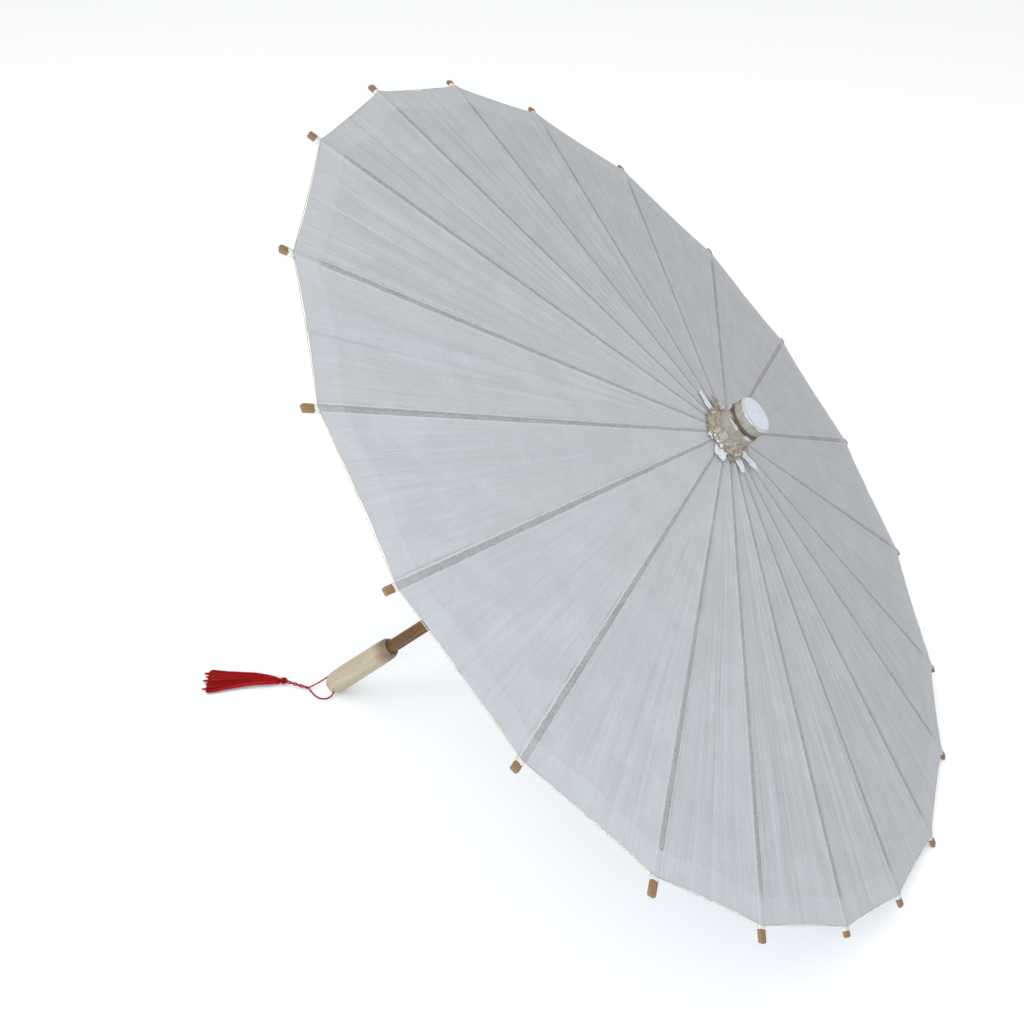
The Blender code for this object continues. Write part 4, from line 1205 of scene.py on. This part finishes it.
bmesh.ops.create_cone(bm, cap_ends=True, segments=24, radius1=CORD_HOLE_R, radius2=CORD_HOLE_R, depth=0.04)
bm.to_mesh(hm)
bm.free()
ho = link(bpy.data.objects.new("hole", hm))
ho.matrix_world = hole_axis
cut(grip, ho)
grip.data.shade_smooth()
grip.data.set_sharp_from_angle(angle=math.radians(35))
along_axis(grip, GRIP_END)
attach(grip, "stick")
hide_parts("handle_grip")


def crown_wobble(a, z):
    if not -0.001 < z < 0.0175:
        return 0.0
    return 0.00030 * noise.noise(Vector((math.cos(a) * 2.2, math.sin(a) * 2.2, z * 160))) + 0.00012 * noise.noise(Vector((math.cos(a) * 9, math.sin(a) * 9, z * 500)))


block = [
    (0, POLE_TOP + 0.0006), (POLE_R + 0.0003, POLE_TOP + 0.0006), (POLE_R + 0.0003, PIVOT_Z - 0.0065), (0.0165, PIVOT_Z - 0.0065),
    (COLLAR_R, PIVOT_Z - 0.0050), (COLLAR_R, PIVOT_Z - 0.0010), (0.0138, PIVOT_Z - 0.0010), (0.0138, PIVOT_Z + 0.0010),
    (COLLAR_R, PIVOT_Z + 0.0010), (COLLAR_R, PIVOT_Z + 0.0021), (BLOCK_R, PIVOT_Z + 0.0036),
] + [(BLOCK_R, 0.0165 - (0.0165 - PIVOT_Z - 0.0036) * (1 - i / 14)) for i in range(1, 14)] + [
    (BLOCK_R, 0.0165), (0.0183, 0.0180), (0.0150, 0.0186), (0.0150, 0.0206), (0.0171, 0.0212), (DISC_R, 0.0222),
    (DISC_R + 0.0001, 0.0245), (DISC_R, 0.0270), (DISC_R, BLOCK_TOP - 0.0010), (0.0166, BLOCK_TOP), (0, BLOCK_TOP),
]
crown = turned("crown_head", smooth_profile(block, 0.0005, 3), 96, M_CROWN, wobble=crown_wobble)
slot_frames = [LOCAL @ Matrix.Rotation(AZ[k], 4, "Z") for k in AZ]
cut(crown, boxes_mesh("slots", slot_frames, (SLOT_IN, -SLOT_W / 2, PIVOT_Z - 0.0120), (0.0230, SLOT_W / 2, PIVOT_Z + 0.0021)))
crown.data.shade_smooth()
crown.data.set_sharp_from_angle(angle=math.radians(35))
along_axis(crown)
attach(crown, "stick")
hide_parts("crown_block")

runner_profile = [
    (POLE_R + BORE_GAP, 0.0060), (POLE_R + BORE_GAP, -SLEEVE_LEN), (0.0106, -SLEEVE_LEN), (SLEEVE_R, -SLEEVE_LEN + 0.0012),
    (SLEEVE_R, -SLEEVE_LEN + 0.0060), (0.0104, -SLEEVE_LEN + 0.0075), (0.0104, -0.0130), (0.0125, -0.0080), (COLLAR_R, -0.0080),
    (COLLAR_R, -0.0010), (0.0138, -0.0010), (0.0138, 0.0010), (COLLAR_R, 0.0010), (COLLAR_R, 0.0050), (0.0170, 0.0060),
]
runner = turned("runner_sleeve", [(r, z + RUNNER_Z) for r, z in smooth_profile(runner_profile, 0.0004, 3)], 96, M_RUNNER, hollow=True)
cut(
    runner,
    boxes_mesh("rs", slot_frames, (SLOT_IN, -SLOT_W / 2, RUNNER_Z - 0.0120), (0.0230, SLOT_W / 2, RUNNER_Z + 0.0100)),
    boxes_mesh("kw", [radial], (0.0030, -CATCH_W / 2 - 0.0004, RUNNER_Z - SLEEVE_LEN - 0.01), (POLE_R + CATCH_OUT + 0.0006, CATCH_W / 2 + 0.0004, RUNNER_Z + 0.02)),
)
runner.data.shade_smooth()
runner.data.set_sharp_from_angle(angle=math.radians(35))
along_axis(runner, RUNNER_Z)
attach(runner, "runner")
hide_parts("runner")

catch = refined("catch_spring", "catch_strip", M_BRASS, 0.00025, radial)
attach(catch, "catch")
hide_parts("catch_spring")


def ring_thread(name, z, node, body):
    path = []
    for k in ORDER:
        m = LOCAL @ Matrix.Rotation(AZ[k], 4, "Z") @ Matrix.Translation((PIVOT_R, 0, z))
        path += [m @ Vector((0, -0.0013, 0)), m @ Vector((0, 0.0013, 0))]
    path.append(path[0])
    pts, faces = tube(path, 0.00035, sides=8, caps=False)
    obj = make(name, pts, faces, M_THREAD, 180, frame_matrix=AXIS_FRAME)
    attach(obj, body)
    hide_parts(node)


ring_thread("hub_lacing", PIVOT_Z, "hub_thread", "stick")
ring_thread("runner_lacing", RUNNER_Z, "runner_thread", "runner")

# the white paper on the end of the crown: a hand-cut disc, a little domed and out of round
pts, faces = [], []
rings, sides = 12, 72
z0 = BLOCK_TOP + 0.0003
for layer in (0, 1):
    for i in range(rings + 1):
        for j in range(sides):
            a = 2 * math.pi * j / sides
            edge = 0.0163 + 0.00022 * noise.noise(Vector((math.cos(a) * 1.6, math.sin(a) * 1.6, 4.0)))
            r = edge * i / rings
            lift = 0.00010 * noise.noise(Vector((r * math.cos(a) * 160, r * math.sin(a) * 160, 1.0)))
            z = z0 + (0.00028 + lift if layer else 0.0) - (0.00012 * (i / rings) ** 6 if layer else 0)
            pts.append((r * math.cos(a), r * math.sin(a), z))
n1 = (rings + 1) * sides
for layer in (0, 1):
    for i in range(rings):
        for j in range(sides):
            e = (j + 1) % sides
            f = [layer * n1 + v for v in (i * sides + j, (i + 1) * sides + j, (i + 1) * sides + e, i * sides + e)]
            faces.append(f if layer else f[::-1])
for j in range(sides):
    e = (j + 1) % sides
    a, b = rings * sides + j, rings * sides + e
    faces.append((a, b, n1 + b, n1 + a))
disc = make("crown_end_paper", W(pts), faces, M_DISC, 50)
bm = bmesh.new()
bm.from_mesh(disc.data)
bmesh.ops.remove_doubles(bm, verts=bm.verts, dist=1e-6)
bmesh.ops.recalc_face_normals(bm, faces=bm.faces)
bm.to_mesh(disc.data)
bm.free()
stamp(disc, AXIS_FRAME)
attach(disc, "stick")
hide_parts("crown_disc_paper")


# ------------------------------------------------------------------ torn paper round the crown's foot
def torn_tab(az, width, up, out, lift, seed, ragged=0.0022):
    """A torn strip: up the block's side, round the corner and out over the canopy."""
    rows, cols = 22, 13
    corner = BLOCK_R + 0.00055
    zc = -corner * SLOPE + 0.0011
    pts, faces = [], []
    for i in range(rows):
        for j in range(cols):
            u = -1 + 2 * j / (cols - 1)
            tear = ragged * (noise.noise(Vector((u * 2.6, seed * 3.1, 0.0))) + 0.5 * noise.noise(Vector((u * 7.0, seed * 5.1, 2.0))))
            tear_up = 0.5 * ragged * noise.noise(Vector((u * 3.1, seed * 7.7, 5.0)))
            total = up + out
            s = total * i / (rows - 1)
            s = s if s < up else up + (s - up) * (1 + tear / out * 1.4)
            if s <= up:
                h = (up - s) * (1 + tear_up / max(up, 1e-4))
                r, z = corner + 0.00015 * noise.noise(Vector((u * 3, h * 300, seed))), zc + h
                bend = math.exp(-((h / 0.0012) ** 2))
                r += 0.0008 * bend
                z += 0.0004 * bend
            else:
                o = s - up
                r = corner + 0.0008 + o * math.cos(0.1)
                z = -r * SLOPE + 0.0011 + 0.0004 * math.exp(-((o / 0.0012) ** 2)) + lift * (o / out) ** 2 + 0.0003 * noise.noise(Vector((u * 2.2, o * 260, seed * 2.3)))
                z = max(z, -r * SLOPE + 0.00085)
            taper = 1.0 if s <= up else 1 - 0.28 * ((s - up) / out) ** 2 + 0.10 * noise.noise(Vector((0.3 * u, s * 240, seed)))
            half = width / 2 * taper
            a = az + u * half / max(r, 0.0195) * 1.0 + 0.06 * noise.noise(Vector((s * 120, seed, u * 0.6)))
            pts.append((r * math.cos(a), r * math.sin(a), z))
    for i in range(rows - 1):
        for j in range(cols - 1):
            faces.append((i * cols + j, i * cols + j + 1, (i + 1) * cols + j + 1, (i + 1) * cols + j))
    return W(pts), faces


def tabs(name, rows, mat):
    """Rows of azimuth, width, height up the block, reach, lift, seed and how white its outer end is."""
    parts, tint = [], []
    for az, width, up, out, lift, seed, white in rows:
        p, f = torn_tab(math.radians(az), width, up, out, lift, seed)
        parts.append((p, f))
        for i in range(22):
            s = (up + out) * i / 21
            for j in range(13):
                w = white * smoothstep(up * 0.92, up * 1.18, s + 0.0012 * noise.noise(Vector((j * 0.9, seed * 3.0, 1.0))))
                tint.append(float(w))
    pts, faces = joined(parts)
    obj = make(name, pts, faces, mat, 180, tint=tint)
    along_axis(obj)
    mod = obj.modifiers.new("thick", "SOLIDIFY")
    mod.thickness = 0.00016
    mod.offset = 1
    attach(obj, "stick")
    return obj


def torn_material():
    m, nt, b = nodes_of("torn_paper", (0.6, 0.6, 0.6), 0.78)
    g = Graph(nt)
    loc = g.attr("loc").outputs["Vector"]
    tint = g.attr("tint").outputs["Fac"]
    cloud = g.noise(loc, 260, 4.0, 0.6, 0.5)
    fibre = g.noise(g.scaled(loc, (500, 1900, 1900)), 1.0, 3.0, 0.6, 1.0)
    kraft = g.mix(g.step(cloud, 0.36, 0.66), (0.205, 0.165, 0.110), (0.385, 0.345, 0.275))
    kraft = g.mix(g.math("MULTIPLY", g.step(fibre, 0.52, 0.66), 0.45), kraft, (0.520, 0.490, 0.430))
    white = g.mix(g.math("MULTIPLY", g.step(cloud, 0.42, 0.70), 0.55), (0.690, 0.715, 0.750), (0.530, 0.545, 0.560))
    wob = g.math("ADD", tint, g.math("MULTIPLY", g.math("SUBTRACT", fibre, 0.5), 0.35))
    g.link(g.mix(g.step(wob, 0.34, 0.56), kraft, white), b.inputs["Base Color"])
    g.link(g.bump(g.math("ADD", cloud, g.math("MULTIPLY", fibre, 0.6)), 0.45, 0.0004), b.inputs["Normal"])
    b.inputs["Specular IOR Level"].default_value = 0.2
    return m


M_TORN = torn_material()
white = tabs(
    "crown_torn_white",
    [
        (286, 0.0072, 0.0060, 0.0230, 0.0022, 1.0, 1.0),
        (14, 0.0085, 0.0055, 0.0085, 0.0012, 2.0, 0.9),
        (48, 0.0150, 0.0075, 0.0165, 0.0018, 3.0, 1.0),
        (104, 0.0105, 0.0050, 0.0170, 0.0014, 5.0, 0.95),
        (139, 0.0110, 0.0095, 0.0235, 0.0040, 4.0, 1.0),
        (176, 0.0090, 0.0080, 0.0130, 0.0014, 5.5, 1.0),
        (214, 0.0095, 0.0060, 0.0150, 0.0018, 6.0, 1.0),
        (243, 0.0085, 0.0110, 0.0120, 0.0030, 7.0, 1.0),
    ],
    M_TORN,
)
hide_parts("crown_paper")
kraft = tabs(
    "crown_torn_kraft",
    [(262, 0.0105, 0.0110, 0.0190, 0.0030, 11.0, 0.15), (76, 0.0100, 0.0110, 0.0110, 0.0020, 12.0, 0.2), (158, 0.0080, 0.0100, 0.0100, 0.0020, 13.0, 0.1)]
    + [(18 * i + 7 * hash01(i, 61), 0.0088, 0.0070 + 0.0040 * hash01(i, 62), 0.0036 + 0.0034 * hash01(i, 63), 0.0006, 20.0 + i, 0.0) for i in range(20)],
    M_TORN,
)

# ------------------------------------------------------------------ stage
fm, fnt, fb = nodes_of("stage_floor", (0.985, 0.985, 0.985), 0.9)
floor_me = bpy.data.meshes.new("stage_floor")
floor_me.from_pydata([(-30, -30, 0), (30, -30, 0), (30, 30, 0), (-30, 30, 0)], [], [(0, 1, 2, 3)])
floor_me.materials.append(fm)
floor = link(bpy.data.objects.new("stage_floor", floor_me))
floor.location.z = -0.0002
fb.inputs["Specular IOR Level"].default_value = 0.1

world = bpy.data.worlds.new("studio")
bpy.context.scene.world = world
world.use_nodes = True
bg = world.node_tree.nodes["Background"]
bg.inputs["Color"].default_value = (0.975, 0.985, 1.0, 1)
bg.inputs["Strength"].default_value = 0.84


def area(name, at, to, size, power, colour=(1, 1, 1)):
    data = bpy.data.lights.new(name, "AREA")
    data.shape = "SQUARE"
    data.size = size
    data.energy = power
    data.color = colour
    o = link(bpy.data.objects.new(name, data))
    o.location = at
    o.rotation_euler = (Vector(to) - Vector(at)).to_track_quat("-Z", "Y").to_euler()
    return o


area("key", (0.15, -1.75, 0.95), (0.25, -0.15, 0.25), 1.1, 23, (0.78, 0.90, 1.0))
area("left", (-1.9, -1.5, 2.0), (0.0, 0, 0.2), 2.0, 13, (0.96, 0.98, 1.0))
area("top", (-0.4, 0.0, 3.4), (0.0, 0, 0.0), 3.4, 30, (1.0, 0.99, 0.97))
bpy.context.scene.view_settings.view_transform = "Standard"
bpy.context.scene.view_settings.look = "None"

bpy.context.view_layer.update()
